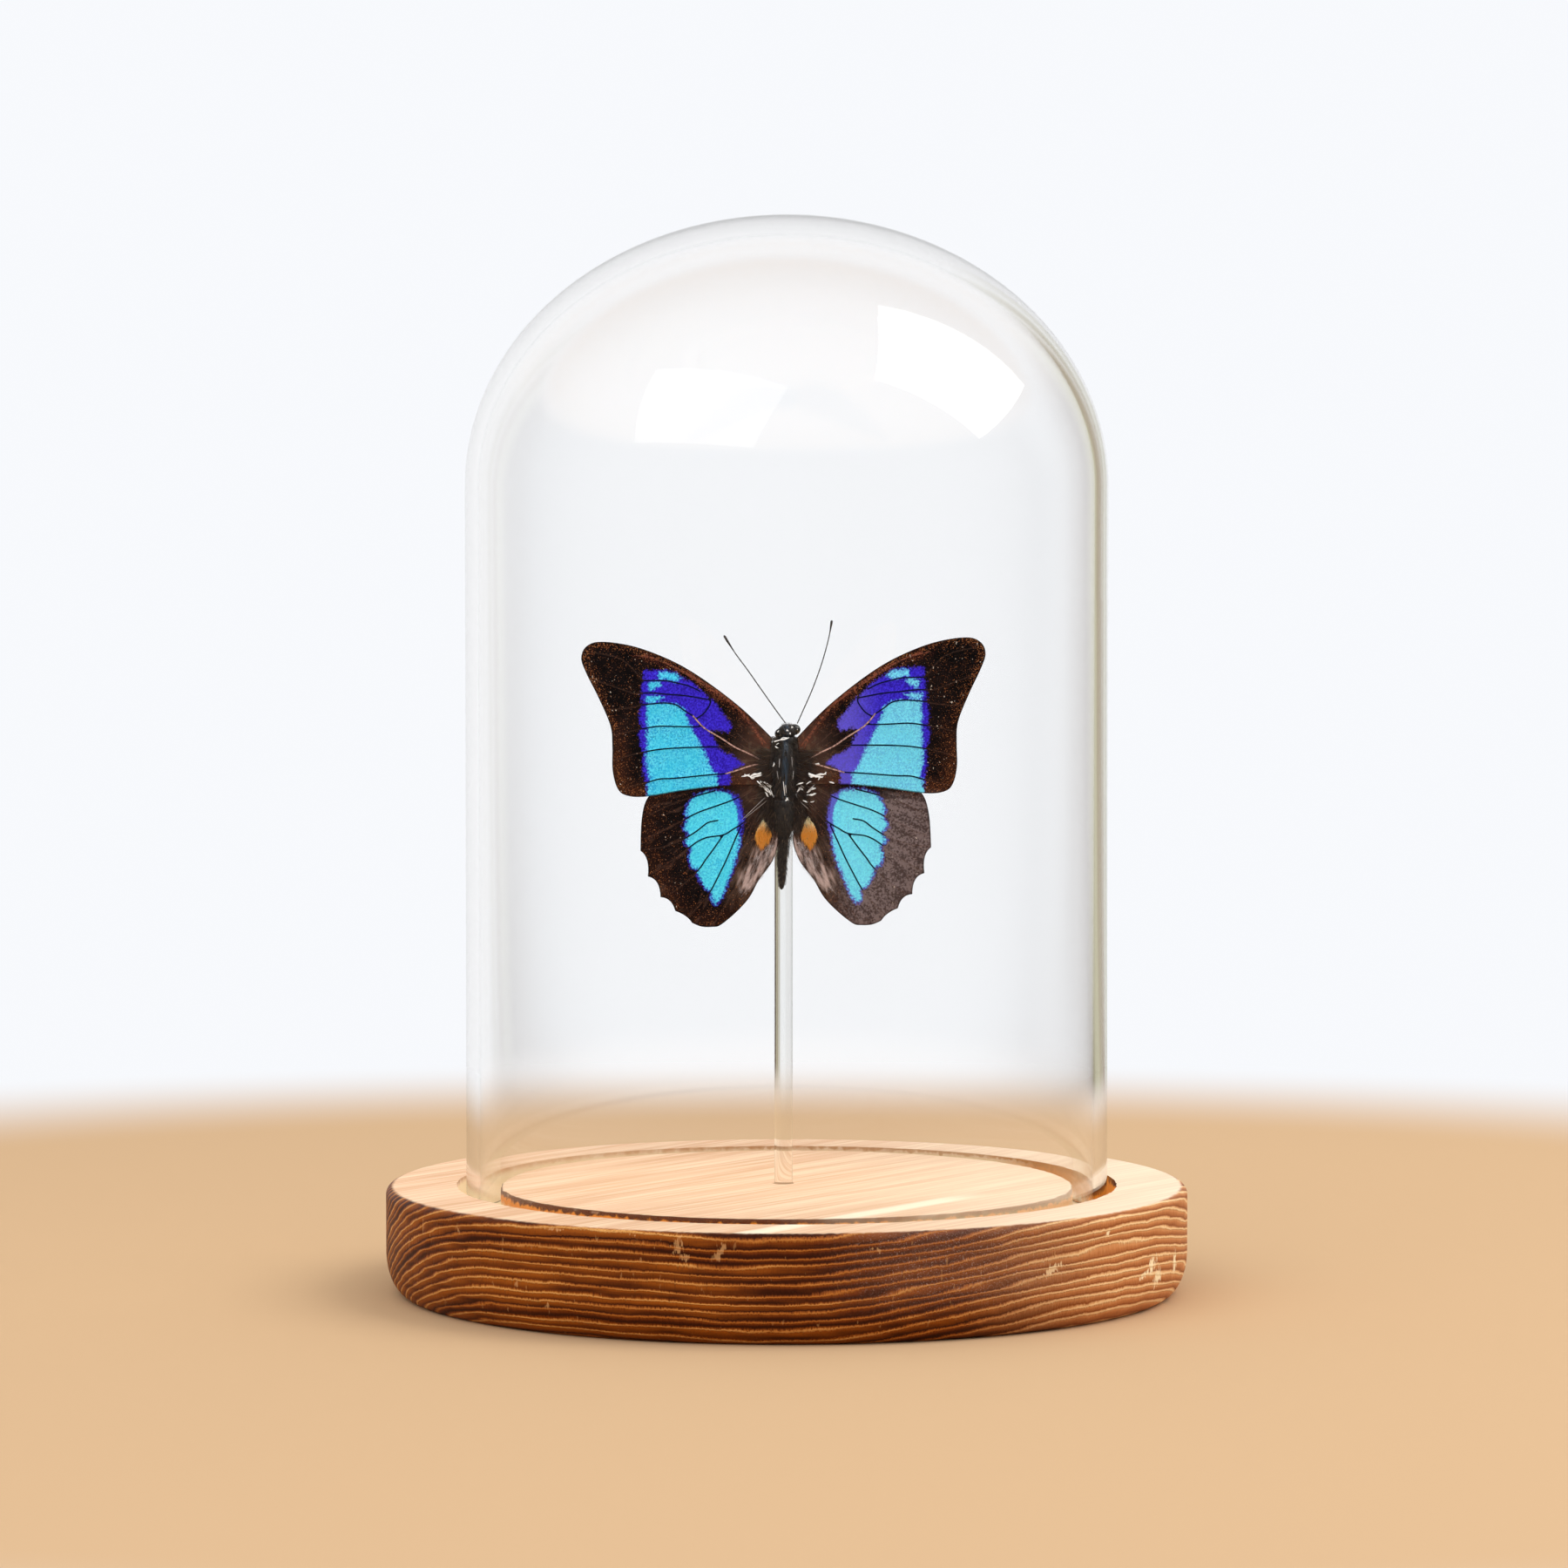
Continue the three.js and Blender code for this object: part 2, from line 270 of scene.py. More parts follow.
profile = [(0.0, 0.0)]
profile += arc((FOOT_RADIUS, FOOT_ROUND), (BASE_RADIUS - FOOT_RADIUS, FOOT_ROUND), -90, 0, 22)
profile += arc((BASE_RADIUS - TOP_ROUND, BASE_HEIGHT - TOP_ROUND), (TOP_ROUND, TOP_ROUND), 0, 90, 8)
profile += [
    (GROOVE_RADIUS, BASE_HEIGHT), (GROOVE_RADIUS, GROOVE_FLOOR), (PLATE_RADIUS, GROOVE_FLOOR),
    (PLATE_RADIUS, BASE_HEIGHT), (HOLE_RADIUS, BASE_HEIGHT), (HOLE_RADIUS, HOLE_FLOOR), (0.0, HOLE_FLOOR),
]
side_line = [p for p in close_set(profile, 0.4) if p[0] > PLATE_RADIUS - 3]
inner_line = [(0.0, 0.0)] + side_line + [(r, BASE_HEIGHT) for r in np.linspace(49, 3, 24)]
inner_line += [(HOLE_RADIUS, BASE_HEIGHT), (HOLE_RADIUS, HOLE_FLOOR), (0.0, HOLE_FLOOR)]
spots, base_faces = turned(inner_line, BASE_AROUND)
reach = np.hypot(spots[:, 0], spots[:, 1])
azimuth = np.arctan2(spots[:, 0], -spots[:, 1])

# the cutter tore the groove's edges a little, most on the end grain at the left
draw = np.random.default_rng(11)
tears = draw.random((2, BASE_AROUND)) ** 2
tears = (tears + np.roll(tears, 1, 1) + np.roll(tears, 2, 1)) / 3
slot_no = np.round((np.arctan2(spots[:, 1], spots[:, 0]) % (2 * math.pi)) / (2 * math.pi) * BASE_AROUND)
slot_no = slot_no.astype(int) % BASE_AROUND
near_top = np.clip((spots[:, 2] - BASE_HEIGHT + LIP) / LIP, 0, 1)
end_grain = 0.45 + 0.55 * np.exp(-((azimuth + 1.05) / 0.5) ** 2)
plate_edge = near_top * (np.abs(reach - PLATE_RADIUS) < EDGE_REACH) * tears[0][slot_no] * end_grain
ring_edge = near_top * (np.abs(reach - GROOVE_RADIUS) < EDGE_REACH) * tears[1][slot_no]
spots[:, 2] -= TEAR_DOWN * plate_edge
pull = TEAR_OUT * ring_edge - TEAR_IN * plate_edge

# knocks are shallow hollows
chip = np.zeros(len(spots))
for turn, height, wide, high, lean in CHIPS:
    along = (azimuth - math.radians(turn)) * BASE_RADIUS
    up = spots[:, 2] - height - lean * along
    spread = (along / wide) ** 2 + (up / high) ** 2
    chip = np.maximum(chip, np.exp(-spread * 0.7) * (reach > 70))
pull -= KNOCK_DEPTH * chip
scale = 1 + np.divide(pull, reach, out=np.zeros(len(reach)), where=reach > 1)
spots[:, 0] *= scale
spots[:, 1] *= scale

# the hole's centre lies a little to the left of the disc's
on_plate = np.clip((30 - reach) / (30 - HOLE_RADIUS), 0, 1) * (spots[:, 2] > HOLE_FLOOR - 0.1)
spots[:, 0] += ROD_X * on_plate
base = piece("base_disc", (spots, base_faces), crease=40, chip=chip)

pine = Finish("scorched_pine")
x, y, z = (pine.place(axis) for axis in "XYZ")
from_axis = (x * x + y * y).math("SQRT")
across = x * BOARD_ACROSS - y * BOARD_ALONG
lengthwise = x * BOARD_ALONG + y * BOARD_ACROSS
bow = across - HEART_ACROSS
climb = bow * bow * bow * 0.00005 - across * 0.04
wander = pine.mottle(34, 2.0) * 2.6 + pine.mottle(5, 1.0, (1, 1, 0.5)) * 0.5
fibre = pine.mottle(0.3, 2.0, (1, 1, 6))
grain = pine.mottle(0.9, 3.0)
scorch = pine.mottle(17, 3.0, (1, 1, 0.4))
streaks = pine.mottle(4.0, 3.0, (3, 3, 0.22), 5.0)
uneven = pine.mottle(3.4, 1.0, (14, 14, 0.8), 2.0)
rings = (z - climb + wander) / RING_SPACING + (fibre - 0.5) * 0.32 + uneven * 1.1
ring_share = rings.math("FRACT")
ring_mark = pine.node("ShaderNodeTexWhiteNoise", {"noise_dimensions": "1D"}, {"W": rings.math("FLOOR")})

# one year's growth from the soft dark wood to the hard pale ridge, scorched more or less; the lightest ramp
# is a lit copy, painted light for the right
DEEP_YEAR = [
    (0.0, paint(46, 14, 1)), (0.26, paint(72, 26, 2)), (0.48, paint(118, 54, 9)),
    (0.64, paint(186, 112, 44)), (0.76, paint(142, 72, 20)), (0.9, paint(60, 21, 2)),
]
LIGHT_YEAR = [
    (0.0, paint(114, 54, 5)), (0.22, paint(140, 70, 9)), (0.5, paint(162, 86, 18)),
    (0.66, paint(226, 166, 94)), (0.76, paint(174, 98, 28)), (0.9, paint(106, 46, 4)),
]
LIT_YEAR = [
    (0.0, paint(168, 100, 52)), (0.26, paint(192, 122, 70)), (0.48, paint(218, 152, 96)),
    (0.64, paint(255, 222, 168)), (0.76, paint(230, 170, 112)), (0.9, paint(150, 84, 40)),
]
deep, light, pale = (
    pine.node("ShaderNodeValToRGB", {"stops": year}, [ring_share])
    for year in (DEEP_YEAR, LIGHT_YEAR, LIT_YEAR)
)
in_front = x.step(-40, 10) * (1 - x.step(30, 60))
lightly = scorch * 0.9 + ring_mark * 0.5 + streaks * 0.6 - 0.54 - 0.2 * in_front
side = pine.blend(lightly.step(0.2, 0.75), deep, light)
side = side.lay(fibre.step(0.52, 0.72) * 0.35, 56, 22, 5)
# painted sheen: a grey-purple tint at the front right of the side, with white specks as painted glints
painted_sheen_zone = x.step(2, 26) * (1 - x.step(56, 70)) * z.step(3, 12) * (0 - y).step(0, 20)
side = side.lay(painted_sheen_zone * (0.06 + 0.32 * grain), 146, 104, 84)
painted_glint = pine.mottle(0.26, 1.0).step(0.56, 0.72)
side = side.lay(painted_sheen_zone * painted_glint * 0.22, 216, 190, 178)
# painted light: the side turns lighter and paler towards the right, where the softbox falls
painted_light_right = x.step(28, 64) * (0 - y).step(-30, 10)
side = pine.blend(painted_light_right * (0.72 + 0.5 * grain), side, pale)
scratch = pine.mottle(0.9, 2.0, (1, 1, 3), 9.0).step(0.68, 0.75)
side = side.lay(scratch * 0.3, 206, 152, 96)

lines = pine.noise_at([across * 1.1, lengthwise * 0.02, 0.0], 3.0)
wide_lines = pine.noise_at([across * 0.2, lengthwise * 0.008, 4.0], 2.0)
bare = pine.blend(wide_lines.step(0.36, 0.64), paint(226, 180, 142), paint(238, 200, 164))
bare = bare.lay(lines.step(0.5, 0.64) * 0.5, 252, 226, 194)
bare = bare.lay((1 - lines.step(0.36, 0.47)) * 0.45, 212, 160, 116)
# painted light: the top turns lighter towards the right, where the softbox falls
bare = bare.lay(x.step(-10, 66) * 0.45, 255, 240, 214)
broad = 1 - (across - 40.5 + wander).math("ABSOLUTE").step(1.2, 3.4)
bare = bare.lay(broad * (1 - lengthwise.step(-6, 12)) * 0.85, 255, 240, 212)

# the groove's cutter burned the plate's wall at the front and the outer wall at the back and right
below = BASE_HEIGHT - z + (pine.mottle(1.5, 3.0) - 0.5) * 2.4
charred = pine.blend(below.step(0.7, 1.3), paint(92, 38, 8), paint(236, 142, 46))
low_front = (1 - y.step(-20, 10)) * below.step(2.0, 3.0)
charred = charred.lay(low_front * grain.step(0.4, 0.6), 120, 56, 14)
# painted light: the charred colour turns lighter orange towards the back, against the shade there
charred = charred.lay(y.step(0, 20) * 0.8, 208, 134, 62)
in_groove = from_axis.step(PLATE_RADIUS - 0.9, PLATE_RADIUS - 0.3) * (1 - from_axis.step(61.9, 62.4))
# painted light: the groove's floor is made pale cream, against the shade inside the groove
groove_painted_light = in_groove * (1 - z.step(18.6, 19.8))
bare = bare.lay(groove_painted_light * 0.9, 255, 232, 190)
plate_wall = (1 - from_axis.step(54.5, 56)) * (1 - below.step(1.8, 3.4)) * (1 - 0.55 * x.step(-5, 30))
outer_wall = from_axis.step(60, 61.3) * (1 - below.step(0.2, 0.7)) * (0.2 + 0.4 * x.step(-35, 0))
right_wall = from_axis.step(60, 61.3) * x.step(40, 52) * (1 - below.step(3.0, 5.0))
burned = (plate_wall + outer_wall + right_wall).math("MINIMUM", 1.0)
top = pine.blend(in_groove * burned * (1 - z.step(19.9, 19.99)), bare, charred)

torn = from_axis + (pine.mottle(1.3, 2.0) - 0.5) * 0.7 + (BASE_HEIGHT - z) * 0.8
on_side = torn.step(73.4, 74.4)
skin = pine.blend(on_side, top, side)
knock = pine.value("chip") * 1.1 + (pine.mottle(0.5, 3.0, (1, 1, 3)) - 0.5) * 2.4
# the knocks' bare wood, painted lighter towards the right as light from the softbox
knocked = pine.blend(painted_light_right, paint(224, 170, 112), paint(255, 234, 190))
skin = pine.blend(knock.step(0.55, 0.9) * (0.5 + 0.42 * painted_light_right), skin, knocked)
raised = ring_share.step(0.45, 0.62) * (1 - ring_share.step(0.72, 0.86))
height = raised * 0.55 * on_side + fibre * 0.3 * on_side + lines * 0.12
pine.coat({
    "Base Color": skin,
    "Roughness": 0.62 - 0.14 * on_side + 0.1 * grain,
    "Specular IOR Level": 0.1,
    "Normal": pine.relief(height, BRUSHED_DEPTH),
})
fit(base, "wood", pine, "base")

# ---------- glass dome ----------
# A blown bell of clear glass with a straight wall and a flattened round crown.
# It isn't fixed: its fire-polished rim stands in the base's groove.

DOME_RADIUS = 60.0
DOME_TOP = 201.0
DOME_SPRING = 150.5
DOME_WALL = 2.5
CROWN_WALL = 3.2
DOME_RIM = 14.3
DOME_AROUND = 256

inner_radius = DOME_RADIUS - DOME_WALL
rise = DOME_TOP - DOME_SPRING
inside_crown = arc((0, DOME_SPRING), (inner_radius, rise - CROWN_WALL), 90, 0, 48)
outside_crown = arc((0, DOME_SPRING), (DOME_RADIUS, rise), 0, 90, 48)
rim_round = arc((DOME_RADIUS - DOME_WALL / 2, DOME_RIM + 1.1), (DOME_WALL / 2, 1.1), 180, 360, 12)
wall_steps = np.linspace(DOME_SPRING, DOME_RIM + 1.1, 40)[1:-1]
bell = [(0.0, inside_crown[0][1])] + inside_crown[1:]
bell += [(inner_radius, h) for h in wall_steps]
bell += rim_round
bell += [(DOME_RADIUS, h) for h in wall_steps[::-1]]
bell += outside_crown[:-1] + [(0.0, DOME_TOP)]
dome = piece("dome_glass", turned(bell, DOME_AROUND))


def clear_finish(name, tint, index, density):
    """Clear stock: it bends light and tints it with depth, and lets light through to what stands behind."""
    clear = Finish(name)
    sockets = {"Base Color": (1, 1, 1, 1), "Roughness": 0.0, "IOR": index, "Transmission Weight": 1.0}
    bent = clear.node("ShaderNodeBsdfPrincipled", {}, sockets)
    straight = clear.node("ShaderNodeBsdfTransparent", {}, {"Color": (0.98, 0.98, 0.975, 1)})
    shade = clear.node("ShaderNodeLightPath", {}, {}, "Is Shadow Ray")
    clear.surface(clear.node("ShaderNodeMixShader", {}, [shade, bent, straight]))
    depth = clear.node("ShaderNodeVolumeAbsorption", {}, {"Color": tint, "Density": density})
    clear.tree.links.new(depth.socket, clear.tree.nodes["Material Output"].inputs["Volume"])
    return clear


blown_glass = clear_finish("dome_glass", tint=(0.625, 0.62, 0.605, 1), index=1.46, density=8.0)
fit(dome, "dome_glass", blown_glass, "glass_dome")

# ---------- rod ----------
# A straight length of clear acrylic with polished, slightly eased ends, pushed
# into the hole in the base; it carries the butterfly.

ROD_RADIUS = 1.7
ROD_FOOT = 8.3
ROD_TOP = 99.5
ROD_EASE = 0.3

rod_line = [(0.0, ROD_FOOT)]
rod_line += arc((ROD_RADIUS - ROD_EASE, ROD_FOOT + ROD_EASE), (ROD_EASE, ROD_EASE), -90, 0, 5)
rod_line += arc((ROD_RADIUS - ROD_EASE, ROD_TOP - ROD_EASE), (ROD_EASE, ROD_EASE), 0, 90, 5)
rod_line += [(0.0, ROD_TOP)]
rod_spots, rod_faces = turned(close_set(rod_line, 4.0), 64)
rod_spots[:, 0] += ROD_X
rod = piece("rod_acrylic", (rod_spots, rod_faces), crease=50)
acrylic = clear_finish("rod_acrylic", tint=(0.80, 0.83, 0.62, 1), index=1.49, density=25.0)
fit(rod, "clear_acrylic", acrylic, "rod")

# ---------- glue ----------
# One drop of clear glue between the back of the thorax and the front of the
# rod, drawn out flat where it wets both.

THORAX = np.array([-0.34, -5.9, 97.7])
THORAX_HALF = np.array([2.4, 3.0, 6.6])


def rounded(half, centre, around, along):
    """An ellipsoid with its poles on the Z axis."""
    points, faces = turned(arc((0, 0), (1, 1), -90, 90, along), around)
    return points * half + centre, faces


glue_front = THORAX[1] + THORAX_HALF[1]
glue_middle = np.array([ROD_X, (glue_front - ROD_RADIUS) / 2, THORAX[2] - 0.6])
GLUE_HALF = np.array([1.3, 0.78, 2.2])
drop, drop_faces = rounded(GLUE_HALF, np.zeros(3), 40, 24)
wet = np.abs(drop[:, 1]) / GLUE_HALF[1]
drop[:, 0] *= 1 + 0.16 * wet
drop[:, 2] *= 1 + 0.12 * wet + 0.05 * np.sin(3 * drop[:, 0])
glue = piece("glue_drop", (drop + glue_middle, drop_faces))
cured_glue = clear_finish("clear_glue", tint=(0.85, 0.80, 0.62, 1), index=1.48, density=90.0)
fit(glue, "clear_glue", cured_glue, "glue_bead")

# ---------- butterfly's body ----------
# A dried, dark-furred body: a ridged glossy thorax, a broad furred abdomen
# that shrinks to a thin tail, and three pairs of legs folded underneath.

BODY_LEAN = math.radians(1.6)
HEAD = np.array([0.3, -0.3, 7.4])
SEGMENT = 1.55
TAIL_TIP = -22.2


def leaned(points, lean):
    """Points of the butterfly's own frame turned about its Y axis and set in place."""
    points = np.asarray(points, float)
    turned_x = points[:, 0] * math.cos(lean) + points[:, 2] * math.sin(lean)
    turned_z = points[:, 2] * math.cos(lean) - points[:, 0] * math.sin(lean)
    return np.stack([turned_x, points[:, 1], turned_z], 1) + THORAX


def smooth_path(points, steps):
    """A smooth curve through points, with a number of steps between each two."""
    points = np.asarray(points, float)
    padded = np.concatenate([points[:1], points, points[-1:]])
    made = []
    for i in range(len(points) - 1):
        a, b, c, d = padded[i:i + 4]
        for t in np.arange(steps) / steps:
            made.append(0.5 * (2 * b + (c - a) * t + (2 * a - 5 * b + 4 * c - d) * t ** 2
                               + (3 * b - a - 3 * c + d) * t ** 3))
    made.append(points[-1])
    return np.array(made)


def wire(path, radii, around):
    """A round wire along a path, closed at both ends, with a radius at each of its points."""
    path = np.asarray(path, float)
    heading = np.gradient(path, axis=0)
    heading /= np.linalg.norm(heading, axis=1)[:, None]
    aside = np.cross(heading, [0.31, 0.91, 0.27])
    aside /= np.linalg.norm(aside, axis=1)[:, None]
    upward = np.cross(heading, aside)
    turn = np.linspace(0, 2 * math.pi, around, endpoint=False)
    ring = np.cos(turn)[None, :, None] * aside[:, None] + np.sin(turn)[None, :, None] * upward[:, None]
    points = path[:, None] + ring * np.asarray(radii, float)[:, None, None]
    faces = []
    for i in range(len(path) - 1):
        for j in range(around):
            k = (j + 1) % around
            low, high = i * around, (i + 1) * around
            faces.append((low + k, low + j, high + j, high + k))
    faces.append(tuple(range(around)))
    last = (len(path) - 1) * around
    faces.append(tuple(last + j for j in reversed(range(around))))
    return points.reshape(-1, 3), faces


thorax, thorax_faces = rounded(THORAX_HALF, np.zeros(3), 72, 60)
spread = thorax[:, 0] / THORAX_HALF[0]
facing = np.clip(-thorax[:, 1] / THORAX_HALF[1], 0, 1)
ridge_line = np.exp(-(spread / 0.17) ** 2) - 0.9 * np.exp(-((np.abs(spread) - 0.33) / 0.09) ** 2)
lobes = 0.10 * np.cos(thorax[:, 2] * 1.1 + 0.8) * np.abs(spread)
thorax[:, 1] -= facing * (0.16 * ridge_line + lobes)
breast = rounded(np.array([3.2, 2.2, 5.8]), np.array([0, 0.7, 0]), 48, 40)
collar = rounded(np.array([2.3, 1.7, 1.3]), np.array([0.1, -0.1, 5.5]), 40, 24)

tail_line = [
    (0, TAIL_TIP), (0.35, -21.9), (0.6, -20.6), (0.82, -17.6), (0.95, -14.6), (1.05, -13.0),
    (1.4, -11.9), (2.0, -10.7), (2.3, -9.2), (2.38, -7.4), (2.2, -5.6), (0, -4.2),
]
abdomen_line = []
for radius, height in close_set(tail_line, 0.2):
    crease = abs(math.sin(math.pi * (height - TAIL_TIP) / SEGMENT)) ** 0.35
    abdomen_line.append((radius * (0.92 + 0.08 * crease), height))
abdomen = turned(abdomen_line, 40)


def on_body(forms):
    """Forms of the butterfly's own frame set in place on the rod."""
    return [(leaned(points, BODY_LEAN), faces) for points, faces in forms]


body = piece("body_trunk", *on_body([(thorax, thorax_faces), breast, collar, abdomen]))

chitin = Finish("body_chitin")
stripe = chitin.place("X") - THORAX[0]
upward = chitin.place("Z") - THORAX[2]
stripe_share = (1 - (stripe - upward * 0.028).math("ABSOLUTE").step(0.25, 0.75)) * upward.step(-6.5, -4.5)
patches = chitin.mottle(0.8, 3.0)
shell = chitin.blend(patches.step(0.35, 0.7), paint(13, 10, 8), paint(40, 32, 25))
sheen_streaks = chitin.mottle(0.35, 2.0, (1, 1, 9))
# the stripe's blue-grey streaks are painted sheen laid over its own blue-black
shell = shell.lay(stripe_share * sheen_streaks.step(0.4, 0.62), 40, 54, 68)
chitin.coat({
    "Base Color": shell,
    "Roughness": 0.55 - 0.3 * stripe_share,
    "Normal": chitin.relief(chitin.mottle(0.3, 3.0), 0.12),
    "Specular IOR Level": 0.45,
})
fit(body, "fur", chitin, "body")

# The head: a furred capsule between two big dark eyes, with a pale scaled
# collar behind it, two scaled palps and a coiled tongue underneath.
EYE_RADIUS = 1.15

skull, skull_faces = rounded(np.array([1.75, 1.8, 1.3]), HEAD, 40, 28)
head_forms = [(skull, skull_faces)]
for side in (-1, 1):
    palp_middle = HEAD + np.array([side * 0.45, 0.9, 0.4])
    head_forms.append(rounded(np.array([0.36, 0.6, 0.75]), palp_middle, 20, 14))
head = piece("head", *on_body(head_forms))
fit(head, "fur", chitin)

eye_forms = []
for side in (-1, 1):
    middle = HEAD + np.array([side * 1.25, 0.1, side * 0.42 - 0.1])
    eye_forms.append(rounded(np.array([1, 1, 0.9]) * EYE_RADIUS, middle, 48, 32))
eyes = piece("eyes", *on_body(eye_forms))
cornea = Finish("eye_cornea")
facets = cornea.node("ShaderNodeTexCoord", {}, {}, "Object")
facets = cornea.node("ShaderNodeTexVoronoi", {}, {"Vector": facets, "Scale": 9000.0}, "Distance")
cornea.coat({
    "Base Color": cornea.blend(cornea.mottle(0.6).step(0.4, 0.7), paint(6, 5, 5), paint(24, 20, 17)),
    "Roughness": 0.12,
    "Coat Weight": 0.6,
    "Normal": cornea.relief(facets, 0.01),
})
fit(eyes, "fur", cornea)

LEGS = [
    [(1.0, 2.2, 3.6), (2.0, 3.2, 5.0), (2.7, 3.3, 3.8), (2.6, 3.3, 1.9)],
    [(1.4, 2.0, 1.4), (3.2, 3.2, 3.9), (3.3, 3.8, 0.4), (2.9, 3.5, -3.6)],
    [(1.4, 2.0, -1.6), (3.3, 3.2, -4.6), (3.1, 3.6, -8.0), (2.6, 3.2, -11.2)],
]
limbs = []
for side in (-1, 1):
    for joints in LEGS:
        path = smooth_path([(side * a, b, c) for a, b, c in joints], 8)
        share = np.linspace(0, 1, len(path))
        knuckle = 0.06 * np.exp(-((share * 3 % 1) / 0.12) ** 2)
        limbs.append(wire(leaned(path, BODY_LEAN), 0.3 - 0.16 * share + knuckle, 10))
TONGUE_STEPS = 60
turn = np.linspace(0, 4 * math.pi, TONGUE_STEPS)
coil = 0.35 + 0.55 * turn / (4 * math.pi)
tongue_path = np.stack([
    np.full(TONGUE_STEPS, HEAD[0]),
    HEAD[1] + 2.2 - coil * np.cos(turn),
    HEAD[2] + 0.2 + coil * np.sin(turn),
], 1)
limbs.append(wire(leaned(tongue_path, BODY_LEAN), np.linspace(0.08, 0.14, TONGUE_STEPS), 8))
legs = piece("legs_and_tongue", *limbs)
horn = Finish("leg_horn")
horn.coat({
    "Base Color": horn.blend(horn.mottle(0.7).step(0.35, 0.7), paint(24, 17, 12), paint(74, 52, 36)),
    "Roughness": 0.42,
    "Normal": horn.relief(horn.mottle(0.12), 0.03),
})
fit(legs, "fur", horn)

# ---------- wings ----------
# Each wing is a dry membrane stretched on raised veins and covered with tiny
# scales, blue bands above and leaf-like browns beneath. The forewing lies over
# the hindwing's front edge; all four grow out of the thorax.

WING_LEAN = math.radians(-0.7)
WING_RAISE = math.radians(5)
WING_GRID = 0.3
MEMBRANE = 0.09
SWELL = 0.16
VEIN_HEIGHT = 0.07
VEIN_RADIUS = 0.16
FOREWING_ROOT = (2.7, -1.6)
HINDWING_ROOT = (3.1, -0.7)


def on_wing(side, root, spots, lift):
    """Places points of a right wing, x out and z towards the head, at a lift above its mid-plane."""
    out = (spots[:, 0] - root[0]) * side
    turn = -side * WING_RAISE
    level = -np.asarray(lift, float) * np.ones(len(out))
    px = out * math.cos(turn) - level * math.sin(turn) + side * root[0]
    py = out * math.sin(turn) + level * math.cos(turn) + root[1]
    return leaned(np.stack([px, py, spots[:, 1]], 1), WING_LEAN)


def gap_to(points, line):
    """The distance of each point from a line of joined points."""
    line = np.asarray(line, float)
    run = line[1:] - line[:-1]
    from_start = points[:, None] - line[None, :-1]
    share = np.clip((from_start * run).sum(2) / (run ** 2).sum(1), 0, 1)
    return np.linalg.norm(from_start - share[..., None] * run, axis=2).min(1)


def within(points, loop):
    """True for each point inside a closed loop."""
    loop = np.asarray(loop, float)
    after = np.roll(loop, -1, 0)
    x, y = points[:, :1], points[:, 1:]
    crosses = (loop[:, 1] > y) != (after[:, 1] > y)
    with np.errstate(divide="ignore", invalid="ignore"):
        at = (after[:, 0] - loop[:, 0]) * (y - loop[:, 1]) / (after[:, 1] - loop[:, 1]) + loop[:, 0]
    return (crosses & (x < at)).sum(1) % 2 == 1


def depth_in(points, loop):
    """How far each point is inside a closed loop; outside it is below zero."""
    closed = np.concatenate([loop, loop[:1]])
    gap = gap_to(points, closed)
    return np.where(within(points, loop), gap, -gap)


def sheet_grid(outline, veins):
    """Points and triangles of a flat wing, with rows of points along its outline and its veins."""
    rim = np.array(close_set([tuple(p) for p in outline] + [tuple(outline[0])], WING_GRID))[:-1]
    rows = [rim]
    for vein in veins:
        row = np.array(close_set([tuple(p) for p in vein], WING_GRID))
        rows.append(row[depth_in(row, rim) > 0.12])
    low, high = rim.min(0), rim.max(0)
    columns = np.arange(low[0], high[0], WING_GRID)
    lines = np.arange(low[1], high[1], WING_GRID * 0.87)
    grid = np.array([(c + (i % 2) * WING_GRID / 2, v) for i, v in enumerate(lines) for c in columns])
    grid = grid[depth_in(grid, rim) > WING_GRID * 0.5]
    for row in rows[1:]:
        if len(row) > 1:
            grid = grid[gap_to(grid, row) > WING_GRID * 0.5]
    rows.append(grid)
    spots = np.concatenate(rows)
    edges = []
    first = len(rim)
    for row in rows[1:-1]:
        edges += [(first + i, first + i + 1) for i in range(len(row) - 1)]
        first += len(row)
    solved = delaunay_2d_cdt(spots.tolist(), edges, [list(range(len(rim)))], 1, 1e-5)
    flat = np.array([tuple(p) for p in solved[0]])
    return flat, [tuple(face) for face in solved[2]]


